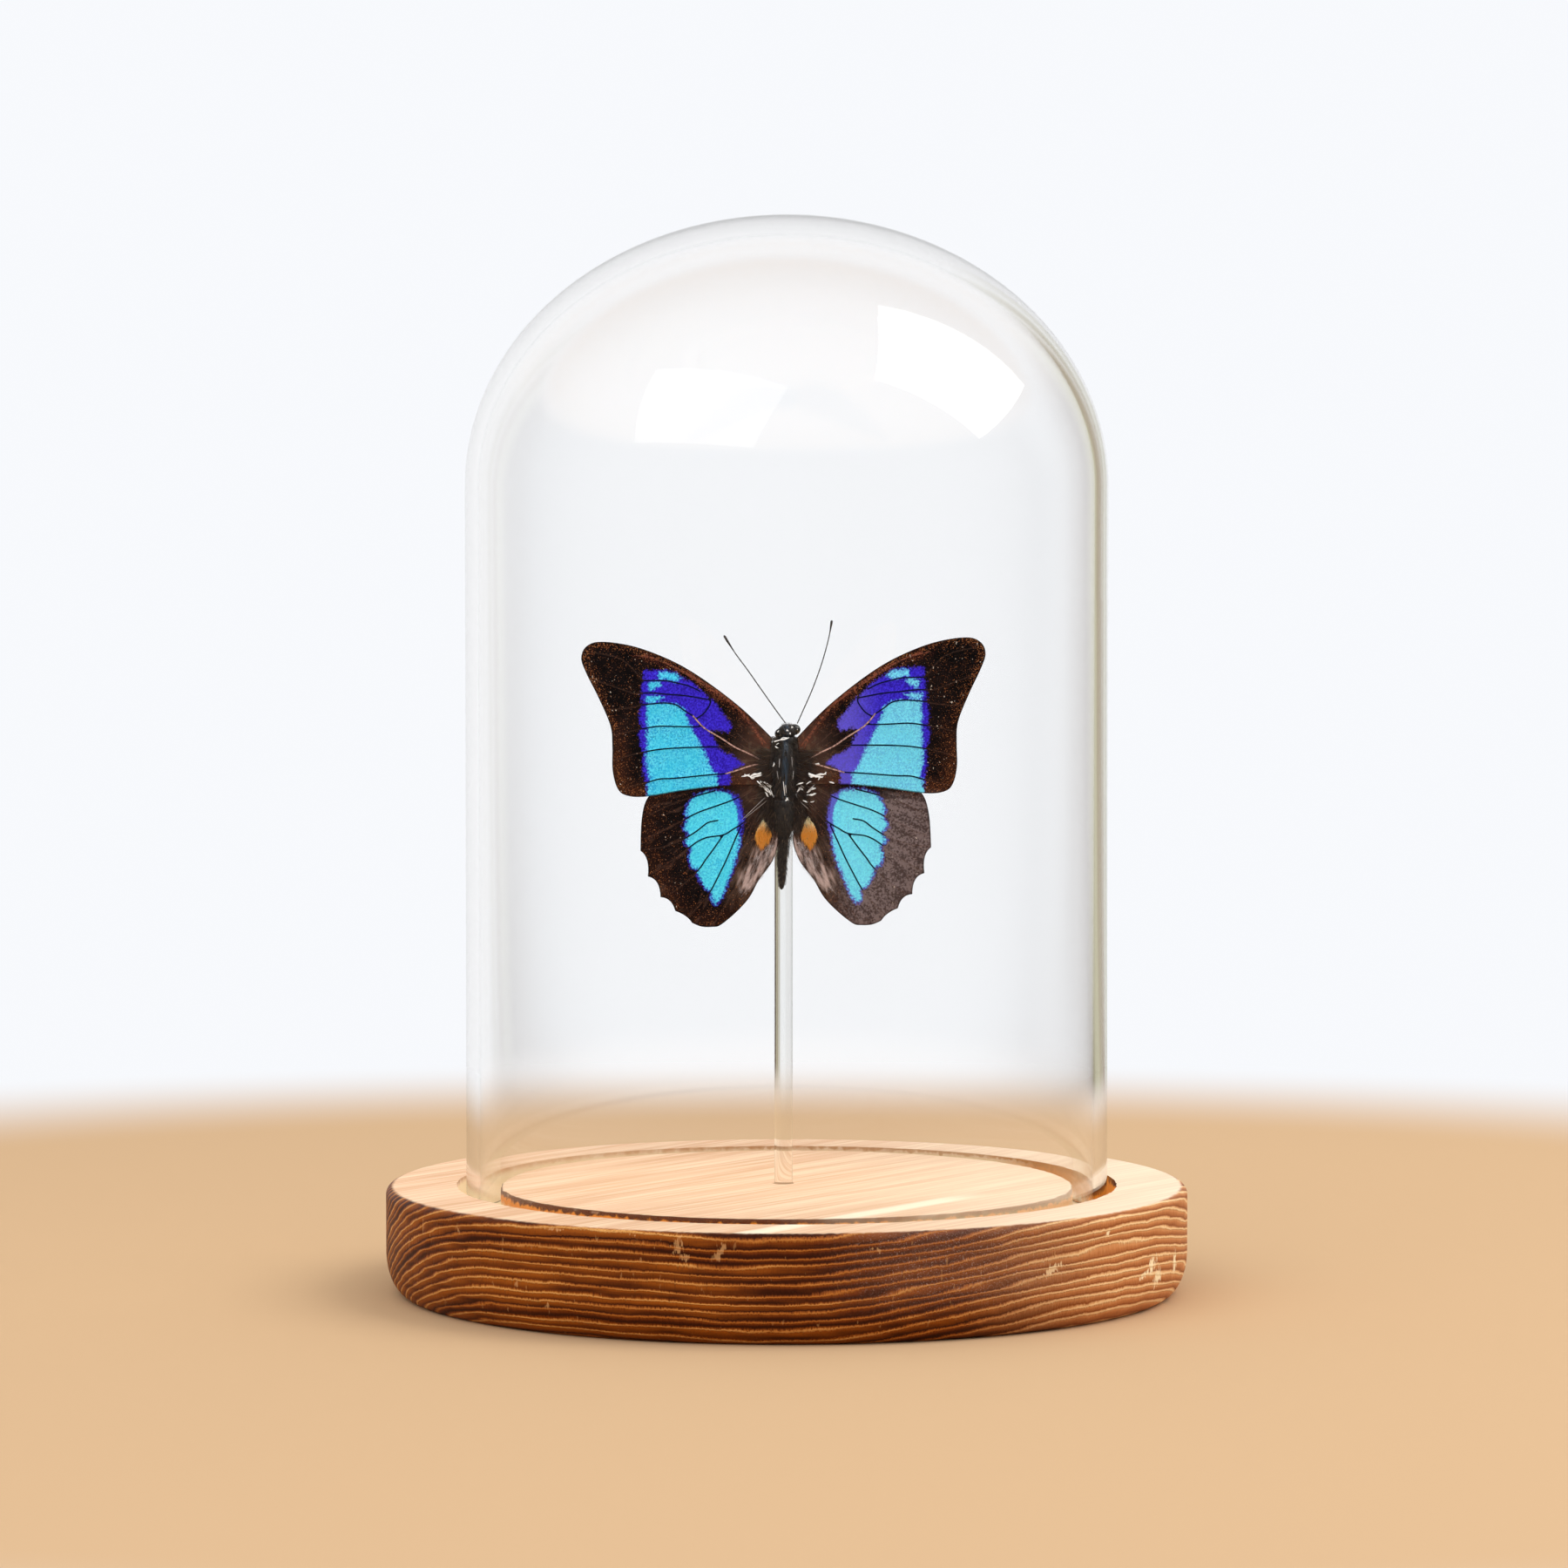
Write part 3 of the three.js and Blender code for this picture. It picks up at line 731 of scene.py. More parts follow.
def make_wing(name, side, root, outline, veins, marks):
    """A two-faced wing with raised veins, and its markings' distances stored on its points."""
    veins = [smooth_path(vein, 4) for vein in veins]
    flat, tops = sheet_grid(outline, veins)
    vein_gap = np.min([gap_to(flat, vein) for vein in veins], 0)
    edge_gap = gap_to(flat, np.concatenate([outline, outline[:1]]))
    swell = SWELL * (np.exp(-(vein_gap / 1.6)) - 0.5) * np.clip(edge_gap / 2, 0, 1)
    bow = 0.10 * np.sin(flat[:, 0] * 0.21) - 0.12 * np.cos(flat[:, 1] * 0.17)
    ridge = VEIN_HEIGHT * np.exp(-(vein_gap / VEIN_RADIUS) ** 2)
    half = MEMBRANE * (0.45 + 0.55 * np.clip(edge_gap / 0.4, 0, 1))
    upper = on_wing(side, root, flat, swell + bow + half + ridge)
    under = on_wing(side, root, flat, swell + bow - half - ridge)
    count = len(flat)
    used = {}
    for a, b, c in tops:
        for edge in ((a, b), (b, c), (c, a)):
            used[edge] = True
    rim = [(a, b) for a, b in used if (b, a) not in used]
    if side > 0:
        faces = tops + [(c + count, b + count, a + count) for a, b, c in tops]
        faces += [(b, a, a + count, b + count) for a, b in rim]
    else:
        faces = [(c, b, a) for a, b, c in tops] + [(a + count, b + count, c + count) for a, b, c in tops]
        faces += [(a, b, b + count, a + count) for a, b in rim]
    fields = {"vein": vein_gap, "edge": edge_gap, "out": flat[:, 0], "up": flat[:, 1]}
    fields |= {word: measure(flat) for word, measure in marks.items()}
    doubled = {word: np.concatenate([numbers, numbers]) for word, numbers in fields.items()}
    doubled["upper"] = np.concatenate([np.ones(count), np.zeros(count)])
    return piece(name, (np.concatenate([upper, under]), faces), **doubled)


FOREWING_OUTLINE = smooth_path([
    (2.3, 6.2), (7.8, 11.7), (14.5, 17.0), (20.5, 20.7), (27.5, 23.5), (33.6, 24.5), (36.4, 23.7),
    (37.4, 21.6), (36.6, 18.9), (34.3, 14.1), (32.2, 8.9), (31.9, 5.0), (31.9, 0.6), (31.0, -2.8),
    (29.2, -4.1), (25.6, -4.3), (18.6, -3.3), (11.3, -2.6), (2.8, -2.3), (2.85, 0.6), (2.5, 4.2),
], 6)
FOREWING_VEINS = [
    [(26.1, 17.2), (25.1, 17.2), (21.8, 17.1), (20.0, 16.7), (17.7, 16.1), (15.6, 15.1)],
    [(27.8, 14.8), (24.7, 14.9), (21.8, 14.6), (18.4, 14.3), (15.0, 13.7), (13.9, 13.5)],
    [(27.8, 12.3), (26.2, 12.7), (24.1, 12.9), (22.1, 13.0), (20.0, 12.6), (18.6, 11.6), (16.9, 10.5)],
    [(27.9, 8.0), (25.6, 8.4), (23.2, 8.7), (20.3, 8.6), (17.0, 8.5), (15.2, 8.6)],
    [(27.9, 3.6), (25.3, 4.1), (23.2, 4.4), (20.3, 4.6), (15.5, 4.7), (10.9, 4.7), (9.2, 4.5)],
    [(28.0, -2.2), (25.6, -1.7), (23.3, -1.1), (20.4, -1.0), (14.4, -0.5), (11.0, -0.3)],
    [(14.2, 14.8), (13.8, 14.0), (13.7, 12.9), (14.2, 11.9), (15.1, 10.8), (16.2, 10.1)],
]
PALE_VEINS = [
    [(16.9, 10.5), (15.9, 9.3), (14.8, 8.2), (13.4, 7.3), (11.6, 6.2), (9.2, 4.6), (6.7, 3.4), (3.6, 1.7)],
    [(11.0, -0.3), (8.9, 0.3), (6.7, 1.0), (5.0, 1.4)],
]
RED_VEINS = [
    [(25.7, 21.9), (20.9, 19.9), (13.4, 15.2), (9.1, 12.1), (6.6, 9.1), (4.8, 6.3), (3.1, 3.4)],
    [(27.3, 21.9), (22.5, 20.7), (16.1, 17.4), (10.8, 13.9), (7.8, 11.0), (5.8, 8.2), (4.1, 6.0),
     (2.7, 4.1)],
]
OUTER_VEINS = [
    [(35.6, 22.6), (30.0, 21.2), (26.1, 17.2)], [(35.4, 17.6), (31.0, 16.0), (27.8, 14.8)],
    [(33.6, 12.0), (30.6, 12.0), (27.8, 12.3)], [(32.0, 7.0), (30.0, 7.5), (27.9, 8.0)],
    [(31.7, 2.4), (30.0, 3.0), (27.9, 3.6)], [(30.6, -2.9), (29.2, -2.6), (28.0, -2.2)],
]
BAND = np.array([
    (26.0, 19.1), (26.1, 18.0), (26.0, 17.3), (26.4, 16.3), (26.3, 15.3), (26.4, 14.9), (26.5, 13.8),
    (26.3, 12.8), (26.8, 11.4), (26.9, 9.9), (26.5, 8.7), (27.0, 7.3), (26.8, 5.4), (26.2, 4.0),
    (26.4, 2.7), (26.3, 0.2), (25.9, -1.4), (25.9, -2.7), (25.6, -4.6), (18.8, -3.5), (12.8, -2.8),
    (10.3, -2.6), (10.2, -1.1), (10.3, 0.0), (8.9, 0.8), (7.5, 1.4), (9.2, 2.7), (11.8, 4.0),
    (12.2, 4.6), (12.6, 5.2), (13.1, 6.4), (14.0, 7.5), (12.6, 7.9), (11.6, 7.6), (10.5, 7.4),
    (9.8, 8.2), (10.0, 9.1), (10.8, 10.3), (12.2, 11.9), (13.5, 13.7), (14.2, 14.0), (15.0, 14.9),
    (16.7, 16.5), (18.7, 17.7), (20.1, 18.7), (21.8, 19.0), (25.1, 19.1),
])
CYAN_BAND = np.array([
    (25.2, 12.6), (25.2, 11.4), (25.3, 9.9), (25.2, 8.7), (25.3, 7.2), (25.3, 5.4), (25.3, 4.1),
    (25.6, 3.3), (25.3, 1.3), (25.0, -0.4), (24.9, -1.5), (25.5, -2.7), (25.3, -4.6), (12.8, -2.8),
    (12.7, -0.7), (13.4, 0.0), (14.2, 1.3), (14.8, 3.0), (15.5, 4.6), (16.4, 6.1), (17.2, 7.5),
    (17.7, 8.7), (18.5, 10.4), (18.6, 11.4), (20.0, 12.5), (22.1, 12.8), (24.1, 12.8),
])
CYAN_PATCHES = [
    np.array([(23.4, 18.7), (21.7, 18.8), (20.1, 18.6), (18.8, 17.6), (20.0, 16.8), (21.9, 17.2),
              (23.2, 17.5)]),
    np.array([(25.3, 16.7), (24.2, 17.1), (23.0, 17.0), (22.6, 16.3), (23.6, 15.7), (24.9, 15.1)]),
    np.array([(25.7, 14.3), (23.9, 14.5), (22.3, 14.1), (23.1, 13.4), (24.6, 13.0), (25.7, 13.1)]),
]

HINDWING_SCALLOPS = [
    ((25.8, -16.2), (25.7, -19.2)), ((24.0, -20.4), (23.4, -23.1)),
    ((21.7, -23.8), (20.7, -25.7)), ((18.8, -26.7), (17.6, -28.0)),
]
front_edge = smooth_path([
    (3.1, -1.2), (9.7, 0.2), (17.8, -0.5), (22.7, -2.1), (25.6, -4.7), (26.7, -8.6), (27.0, -14.4),
], 6)
hollows = []
last = np.array((27.0, -14.4))
for deep, tip in HINDWING_SCALLOPS:
    deep, tip = np.array(deep), np.array(tip)
    pull_point = 2 * deep - (last + tip) / 2
    for t in np.linspace(0, 1, 9)[1:]:
        hollows.append((1 - t) ** 2 * last + 2 * t * (1 - t) * pull_point + t ** 2 * tip)
    last = tip
inner_edge = smooth_path([
    (17.6, -28.0), (15.9, -28.7), (13.9, -28.8), (12.2, -28.4), (8.7, -25.5), (5.0, -21.6), (2.9, -17.8),
    (1.9, -15.3), (1.4, -13.7), (1.3, -12.2), (1.7, -10.6), (2.0, -8.0), (2.2, -5.0),
], 6)
HINDWING_OUTLINE = np.concatenate([front_edge, hollows, inner_edge[1:]])
HINDWING_VEINS = [
    [(26.2, -12.1), (23.9, -11.3), (21.7, -10.1), (19.0, -8.9), (17.8, -8.2), (15.8, -7.3), (12.8, -6.3),
     (9.9, -5.3), (7.3, -4.1)],
    [(26.5, -14.2), (23.0, -13.8), (19.7, -12.7), (17.6, -11.6), (16.1, -10.6), (14.5, -9.4), (12.6, -9.0)],
    [(25.1, -18.8), (21.4, -16.4), (17.5, -13.6), (16.1, -12.7), (14.5, -12.1), (11.6, -11.7), (9.8, -10.7),
     (8.0, -9.6), (6.1, -8.0), (3.6, -5.1)],
    [(22.6, -23.2), (19.2, -20.8), (16.3, -18.1), (15.0, -16.3), (13.4, -14.2), (11.6, -11.7)],
    [(18.3, -26.8), (15.7, -24.2), (14.0, -21.9), (12.4, -18.9), (11.0, -16.1), (9.8, -13.4), (8.4, -10.3)],
    [(13.5, -28.2), (10.5, -23.3), (8.8, -19.1), (7.6, -14.4), (6.4, -10.4), (4.8, -7.2)],
    [(25.3, -7.8), (22.1, -6.3), (18.0, -4.8), (13.1, -3.5)],
]
HIND_PATCH = np.array([
    (16.8, -4.5), (14.8, -3.8), (12.2, -3.6), (10.3, -4.1), (8.9, -4.9), (8.4, -7.1), (8.1, -9.3),
    (8.6, -11.7), (9.0, -14.4), (9.9, -17.7), (11.1, -20.5), (12.1, -23.2), (13.3, -24.5), (13.9, -23.6),
    (13.7, -22.2), (14.1, -21.9), (15.0, -21.4), (16.2, -19.4), (16.4, -18.1), (17.5, -17.4), (17.9, -15.9),
    (17.5, -14.3), (17.7, -13.8), (18.6, -13.1), (18.1, -12.1), (17.7, -11.5), (18.8, -10.4), (18.2, -9.0),
    (17.8, -8.2), (18.4, -7.8), (18.0, -6.2),
])
HIND_CORNER = np.array([
    (10.3, -3.6), (8.4, -4.6), (7.8, -7.1), (7.6, -9.3), (8.2, -12.2), (9.2, -11.1), (8.8, -8.9),
    (9.2, -6.5), (9.9, -5.2),
])
HIND_GREY = np.array([
    (1.4, -12.3), (3.0, -13.4), (5.4, -15.0), (6.9, -17.2), (8.2, -19.6), (8.4, -21.6), (7.2, -22.0),
    (5.2, -20.8), (3.2, -18.2), (1.7, -15.4),
])


def joined_gap(lines):
    """A measure of the distance to the nearest of several smooth lines."""
    return lambda flat: np.min([gap_to(flat, smooth_path(line, 4)) for line in lines], 0)


def cyan_depth(flat):
    """How far each point is inside the forewing's turquoise band or one of its patches."""
    return np.max([depth_in(flat, CYAN_BAND) + 0.15] + [depth_in(flat, p) - 0.2 for p in CYAN_PATCHES], 0)


def nowhere(flat):
    """A mark that a wing doesn't have."""
    return np.full(len(flat), -9.0)


FOREWING_MARKS = {
    "band": lambda flat: depth_in(flat, BAND),
    "cyan": cyan_depth,
    "violet": nowhere,
    "pale": joined_gap(PALE_VEINS),
    "red": joined_gap(RED_VEINS),
    "grey": nowhere,
}
HINDWING_MARKS = {
    "band": lambda flat: depth_in(flat, HIND_PATCH) + 0.42,
    "cyan": lambda flat: depth_in(flat, HIND_PATCH),
    "violet": lambda flat: depth_in(flat, HIND_CORNER),
    "pale": joined_gap([[(7.6, -1.9), (6.2, -1.8), (4.6, -1.3), (3.2, -1.0)]]),
    "red": joined_gap([[(23.5, -3.6), (17.8, -2.2), (11.0, -1.6), (7.6, -2.0)]]),
    "grey": lambda flat: depth_in(flat, HIND_GREY),
}

scales = Finish("wing_scales")
out = scales.value("out")
up = scales.value("up")
edge = scales.value("edge")
vein = scales.value("vein")
upper = scales.value("upper").step(0.4, 0.6)
dust = scales.mottle(0.34, 2.0)
fine_dust = scales.mottle(0.2, 1.0, (1, 1, 1), 7.0)
grains = scales.mottle(0.42, 2.0, (1, 1, 1), 3.0)
cloud = scales.mottle(4.0, 2.0)

from_root = (out * out + up * up).math("SQRT")
near_root = 1 - (out * out + up * up * 0.8).math("SQRT").step(4, 13)
combed = scales.noise_at([up.math("ARCTAN2", out) * 26, from_root * 0.3, 0.0], 3.0)
ground = scales.blend(cloud.step(0.35, 0.65), paint(4, 1, 1), paint(20, 9, 7))
ground = ground.lay(near_root * (0.6 + 0.4 * cloud), 88, 63, 52)
copper_zone = (1 - edge.step(0.6, 4.2)) * (1 - up.step(1, 13)) * (0.4 + 0.6 * up.step(-6, -4))
ground = ground.lay(copper_zone * 0.4, 78, 40, 18)
combings = combed.step(0.55, 0.68) * (0.22 + 0.3 * near_root)
ground = ground.lay(combings * (1 - out.step(23, 28)), 112, 80, 66)
patchy = scales.mottle(1.1, 3.0, (1, 1, 1), 5.0).step(0.5, 0.62)
ground = ground.lay(patchy * near_root * 0.4, 112, 92, 72)
ground = ground.lay(scales.value("grey").step(-5.5, -0.5) * 0.6 * combed.step(0.3, 0.6), 98, 76, 62)
costal = (1 - edge.step(0.4, 2.6)) * up.step(7, 12)
speck = (fine_dust + copper_zone * 0.08 + costal * 0.11 + cloud * 0.05 - near_root * 0.06).step(0.67, 0.73)
copper = scales.blend(dust.step(0.4, 0.6), paint(104, 50, 20), paint(178, 112, 64))
ground = scales.blend(speck * (0.75 - 0.5 * near_root), ground, copper)

# painted sheen: the right hindwing's ground is made greyer, as if turned more to the light
painted_sheen_right = scales.place("X").step(6, 14) * (1 - up.step(-6, -3))
sheen_grey = scales.blend((combed + dust - grains).step(0.3, 0.7), paint(78, 64, 62), paint(132, 114, 112))
ground = scales.blend(painted_sheen_right * (0.9 - 0.25 * copper_zone), ground, sheen_grey)
fleck = scales.mottle(0.42, 1.0, (1, 1, 1.2), 12.0).step(0.735, 0.77)
ground = ground.lay(fleck * (1 - edge.step(6, 10)) * out.step(16, 22) * 0.8, 232, 212, 190)
red_line = (1 - scales.value("red").step(0.04, 0.17)) * grains.step(0.38, 0.6)
red_haze = (1 - scales.value("red").step(0.1, 1.5)) * combed.step(0.42, 0.6) * dust.step(0.3, 0.7)
ground = ground.lay(red_haze * (0.32 + 0.4 * (1 - up.step(-1.5, 0.5))), 118, 44, 30)
ground = ground.lay(red_line * 0.6, 176, 92, 66)
vein_line = 1 - vein.step(0.07, 0.18)
ground = ground.lay(vein_line * 0.3, 84, 58, 46)

grey = (scales.value("grey") + (combed - 0.5) * 2.4).step(-1.2, 1.1)
silver = scales.blend(combed.step(0.38, 0.66), paint(84, 66, 60), paint(204, 178, 170))
ground = scales.blend(grey * 0.85, ground, silver)

blue_share = (scales.value("band") + (grains - 0.5) * 1.2 + (dust - 0.5) * 0.9).step(-0.3, 0.4)
cyan_share = (scales.value("cyan") + 0.1 + (grains - 0.5) * 1.5 + (dust - 0.5) * 1.0).step(-0.35, 0.45)
cyan_share = cyan_share * (1 - (scales.value("violet") + (grains - 0.5) * 1.0).step(-0.15, 0.2) * 0.9)
violet = scales.blend(dust.step(0.3, 0.7), paint(40, 20, 158), paint(66, 46, 226))
sky = scales.blend(dust.step(0.32, 0.66), paint(38, 164, 226), paint(102, 230, 255))
sky = sky.lay(cloud.step(0.35, 0.7) * 0.5, 62, 212, 242)
sky = sky.lay((1 - fine_dust.step(0.28, 0.4)) * 0.6, 10, 88, 130)
sky = sky.lay((1 - up.step(-6, -3)) * 0.26, 96, 246, 255)
# painted sheen: the turquoise on the right wings is made lighter
sky = sky.lay(scales.place("X").step(2, 12) * 0.26, 176, 244, 255)
# painted sheen: the inner ultramarine of the right wings is made lighter and greyer
violet_sheen = scales.place("X").step(2, 5) * (1 - out.step(11, 19))
violet = violet.lay(violet_sheen * 0.5, 120, 108, 212)
blue = scales.blend(cyan_share, violet, sky)
dark_line = 1 - vein.step(0.08, 0.2)
blue = blue.lay(dark_line, 5, 14, 38)
above = scales.blend(blue_share, ground, blue)
pale_line = (1 - scales.value("pale").step(0.07, 0.17)) * (0.35 + grains.step(0.35, 0.6) * 0.65)
above = above.lay(pale_line * 0.85, 222, 176, 160)
rim_line = 1 - edge.step(0.08, 0.3)
above = above.lay(rim_line * 0.7, 22, 12, 9)

# the underside is coloured like a dry leaf, crossed by a darker midrib line
slant = out * 0.94 - up * 0.34
midrib = (slant - 17 + (cloud - 0.5) * 2).math("ABSOLUTE")
second = (slant - 24 + (grains - 0.5) * 2).math("ABSOLUTE")
beneath = scales.blend(cloud.step(0.3, 0.7), paint(142, 104, 70), paint(190, 150, 108))
beneath = beneath.lay((slant - 17).step(-0.4, 0.4) * 0.6, 206, 172, 132)
beneath = beneath.lay((1 - midrib.step(0.2, 0.7)) * 0.85, 70, 42, 26)
beneath = beneath.lay((1 - second.step(0.2, 1.4)) * 0.5, 112, 78, 54)
for spot_out, spot_up, wide in ((22.4, -9.6, 1.5), (12.6, -25.0, 1.2)):
    aside, above_it = out - spot_out, up - spot_up
    from_spot = (aside * aside + above_it * above_it).math("SQRT") / wide
    beneath = beneath.lay(1 - from_spot.step(0.9, 1.05), 214, 178, 118)
    beneath = beneath.lay(1 - from_spot.step(0.6, 0.72), 28, 18, 14)
beneath = beneath.lay(dust.step(0.55, 0.72) * 0.45, 88, 62, 44)
beneath = beneath.lay(vein_line * 0.7, 92, 66, 46)
beneath = beneath.lay(rim_line * 0.6, 60, 40, 28)

skin = scales.blend(upper, beneath, above)
shine = 0.5 + 0.16 * dust - 0.1 * blue_share
scales.coat({
    "Base Color": skin,
    "Roughness": shine,
    "Specular IOR Level": 0.05,
    "Normal": scales.relief(dust * 0.6 + grains * 0.4, 0.05),
})

WINGS = {
    "forewing": (FOREWING_ROOT, FOREWING_OUTLINE, FOREWING_VEINS + PALE_VEINS + RED_VEINS + OUTER_VEINS,
                 FOREWING_MARKS),
    "hindwing": (HINDWING_ROOT, HINDWING_OUTLINE, HINDWING_VEINS, HINDWING_MARKS),
}
for kind, (root, outline, veins, marks) in WINGS.items():
    for word, side in (("left", -1), ("right", 1)):
        node = f"{kind}_{word}"
        if node == "hindwing_left":
            fold = np.exp(-((outline[:, 1] + 20.6) / 2.6) ** 2) * (outline[:, 0] < 9.5)
            outline = outline + np.stack([1.0 * fold, 0 * fold], 1)
        wing = make_wing(f"{node}_sheet", side, root, outline, veins, marks)
        fit(wing, "wing_scales", scales, node)

# ---------- fur ----------
# Fine dark hair covers the thorax and the abdomen and runs out over the wings'
# bases. Some of it lies in thick locks drawn white as painted highlights, with
# white dots as painted glints on the eyes.


def hairs(roots, tips, sag, radius, steps=3):
    """Tapered three-sided hairs from roots to tips, bowed by a sag vector each."""
    roots, tips, sag = (np.asarray(a, float) for a in (roots, tips, sag))
    count = len(roots)
    heading = tips - roots
    heading /= np.linalg.norm(heading, axis=1)[:, None]
    aside = np.cross(heading, [0.23, 0.41, 0.88])
    aside /= np.linalg.norm(aside, axis=1)[:, None]
    upward = np.cross(heading, aside)
    radius = np.broadcast_to(radius, count)
    rings = []
    for i in range(steps):
        share = i / steps
        centre = roots + (tips - roots) * share + sag * (4 * share * (1 - share))
        size = (radius * (1 - 0.75 * share))[:, None]
        for turn in (0, 2.094, 4.189):
            rings.append(centre + (aside * math.cos(turn) + upward * math.sin(turn)) * size)
    rings.append(tips)
    per_hair = 3 * steps + 1
    points = np.stack(rings, 1).reshape(-1, 3)
    faces = []
    for n in range(count):
        first = n * per_hair
        faces.append((first + 2, first + 1, first))
        for i in range(steps - 1):
            for j in range(3):
                k = (j + 1) % 3
                low, high = first + 3 * i, first + 3 * i + 3
                faces.append((low + j, low + k, high + k, high + j))
        top = first + 3 * (steps - 1)
        for j in range(3):
            faces.append((top + j, top + (j + 1) % 3, first + per_hair - 1))
    along = np.tile(np.append(np.repeat(np.arange(steps) / steps, 3), 1.0), count)
    shade = np.repeat(draw.random(count), per_hair)
    return (points, faces), along, shade


WING_SEAM = -2.4


def wing_face(x, fore):
    """The depth of a wing's upper face in the butterfly's frame."""
    root = FOREWING_ROOT if fore else HINDWING_ROOT
    return root[1] - math.sin(WING_RAISE) * (abs(x) - root[0]) - 0.2


def thorax_face(x, z):
    """The depth of the body's front in the butterfly's frame."""
    round_part = 1 - (x / THORAX_HALF[0]) ** 2 - (z / THORAX_HALF[2]) ** 2
    return -THORAX_HALF[1] * math.sqrt(max(round_part, 0.0))


HAIRS = {"thorax": 1500, "abdomen": 1900, "head": 260, "wing_bases": 2100, "ruff": 700, "inner_folds": 900}
ABDOMEN_DOWN = [4.2, 5.6, 7.6, 9.6, 11.2, 12.6, 17.6, 20.6, 22.2]
ABDOMEN_GIRTH = [1.6, 2.2, 2.35, 2.25, 1.9, 1.25, 0.85, 0.6, 0.1]
roots, tips, sags, sizes = [], [], [], []


def grow(root, tip, sag, size):
    """Adds one hair, in the butterfly's own frame."""
    roots.append(root)
    tips.append(tip)
    sags.append(sag)
    sizes.append(size)


# all round the thorax, lying back towards the tail
for _ in range(HAIRS["thorax"]):
    turn = draw.uniform(0, 2 * math.pi)
    height = draw.uniform(-6.0, 6.3)
    girth = math.sqrt(max(0.05, 1 - (height / THORAX_HALF[2]) ** 2))
    outward = np.array([math.sin(turn), -math.cos(turn), 0.0])
    half_width = 2.3 if math.cos(turn) > 0 else 2.9
    half_depth = 2.85 if math.cos(turn) > 0 else 2.6
    root = np.array([half_width * girth * outward[0], half_depth * girth * outward[1], height])
    if abs(root[0]) < 0.75 and root[1] < 0 and -5 < height < 5:
        continue
    reach_out = draw.uniform(0.15, 0.7)
    length = draw.uniform(0.7, 1.7)
    tip = root + outward * reach_out + np.array([draw.normal(0, 0.2), draw.normal(0, 0.1), -length])
    grow(root, tip, outward * 0.15, draw.uniform(0.028, 0.05))

# round the abdomen, shorter towards the tail
for _ in range(HAIRS["abdomen"]):
    height = -4.6 - 17 * draw.random() ** 1.25
    girth = np.interp(-height, ABDOMEN_DOWN, ABDOMEN_GIRTH)
    turn = draw.uniform(0, 2 * math.pi)
    outward = np.array([math.sin(turn), -math.cos(turn), 0.0])
    root = outward * girth * 0.97 + np.array([0, 0, height])
    length = draw.uniform(0.5, 1.3) * np.interp(girth, [0.5, 2.0], [0.55, 1.0])
    tip = root + outward * draw.uniform(0.02, 0.3) + np.array([draw.normal(0, 0.12), 0, -length])
    if tip[2] > -22.1:
        grow(root, tip, outward * 0.06, draw.uniform(0.026, 0.042))

# on the head, short and upright
for _ in range(HAIRS["head"]):
    turn = draw.uniform(0, 2 * math.pi)
    lift = draw.uniform(-0.2, 1.0)
    level = math.sqrt(1 - lift ** 2)
    outward = np.array([math.sin(turn) * level, -math.cos(turn) * level, lift])
    if abs(outward[0]) > 0.62:
        continue
    root = HEAD + outward * np.array([1.7, 1.75, 1.25])
    grow(root, root + outward * draw.uniform(0.25, 0.5) + draw.normal(0, 0.08, 3), outward * 0, 0.03)

# out over the wings' bases
for _ in range(HAIRS["wing_bases"]):
    side = draw.choice((-1, 1))
    height = draw.uniform(-9.5, 4.0)
    start = draw.uniform(1.9, 4.6) if height > -3 else draw.uniform(1.8, 4.2)
    fore = height > WING_SEAM
    angle = math.radians(np.interp(height, [-9.5, -3, 4], [-72, -38, 12]) + draw.normal(0, 16))
    length = draw.uniform(0.9, 2.6)
    end = (start + math.cos(angle) * length, height + math.sin(angle) * length)
    root = np.array([side * start, wing_face(start, fore) - 0.05, height])
    tip = np.array([side * end[0], wing_face(end[0], fore) - draw.uniform(0.05, 0.4), end[1]])
    grow(root, tip, np.array([0, -draw.uniform(0.05, 0.3), 0]), draw.uniform(0.026, 0.045))

# a ruff that fills the corners between the neck and the wings
for _ in range(HAIRS["ruff"]):
    side = draw.choice((-1, 1))
    root = np.array([side * draw.uniform(1.2, 2.6), draw.uniform(-1.6, 0.2), draw.uniform(3.4, 6.4)])
    tip = root + np.array([side * draw.uniform(0.1, 0.9), draw.uniform(-0.5, 0.1), draw.uniform(-1.3, 0.1)])
    grow(root, tip, np.array([side * 0.1, -0.1, 0.05]), draw.uniform(0.03, 0.05))

# beside the abdomen, over the hindwings' inner folds
for _ in range(HAIRS["inner_folds"]):
    side = draw.choice((-1, 1))
    height = draw.uniform(-11.0, -4.0)
    root = np.array([side * draw.uniform(1.7, 2.9), draw.uniform(-1.4, -0.7), height])
    across = side * draw.uniform(-0.1, 0.9)
    tip = root + np.array([across, draw.uniform(-0.3, 0.1), -draw.uniform(0.8, 1.8)])
    grow(root, tip, np.array([side * 0.1, -0.12, 0]), draw.uniform(0.026, 0.045))

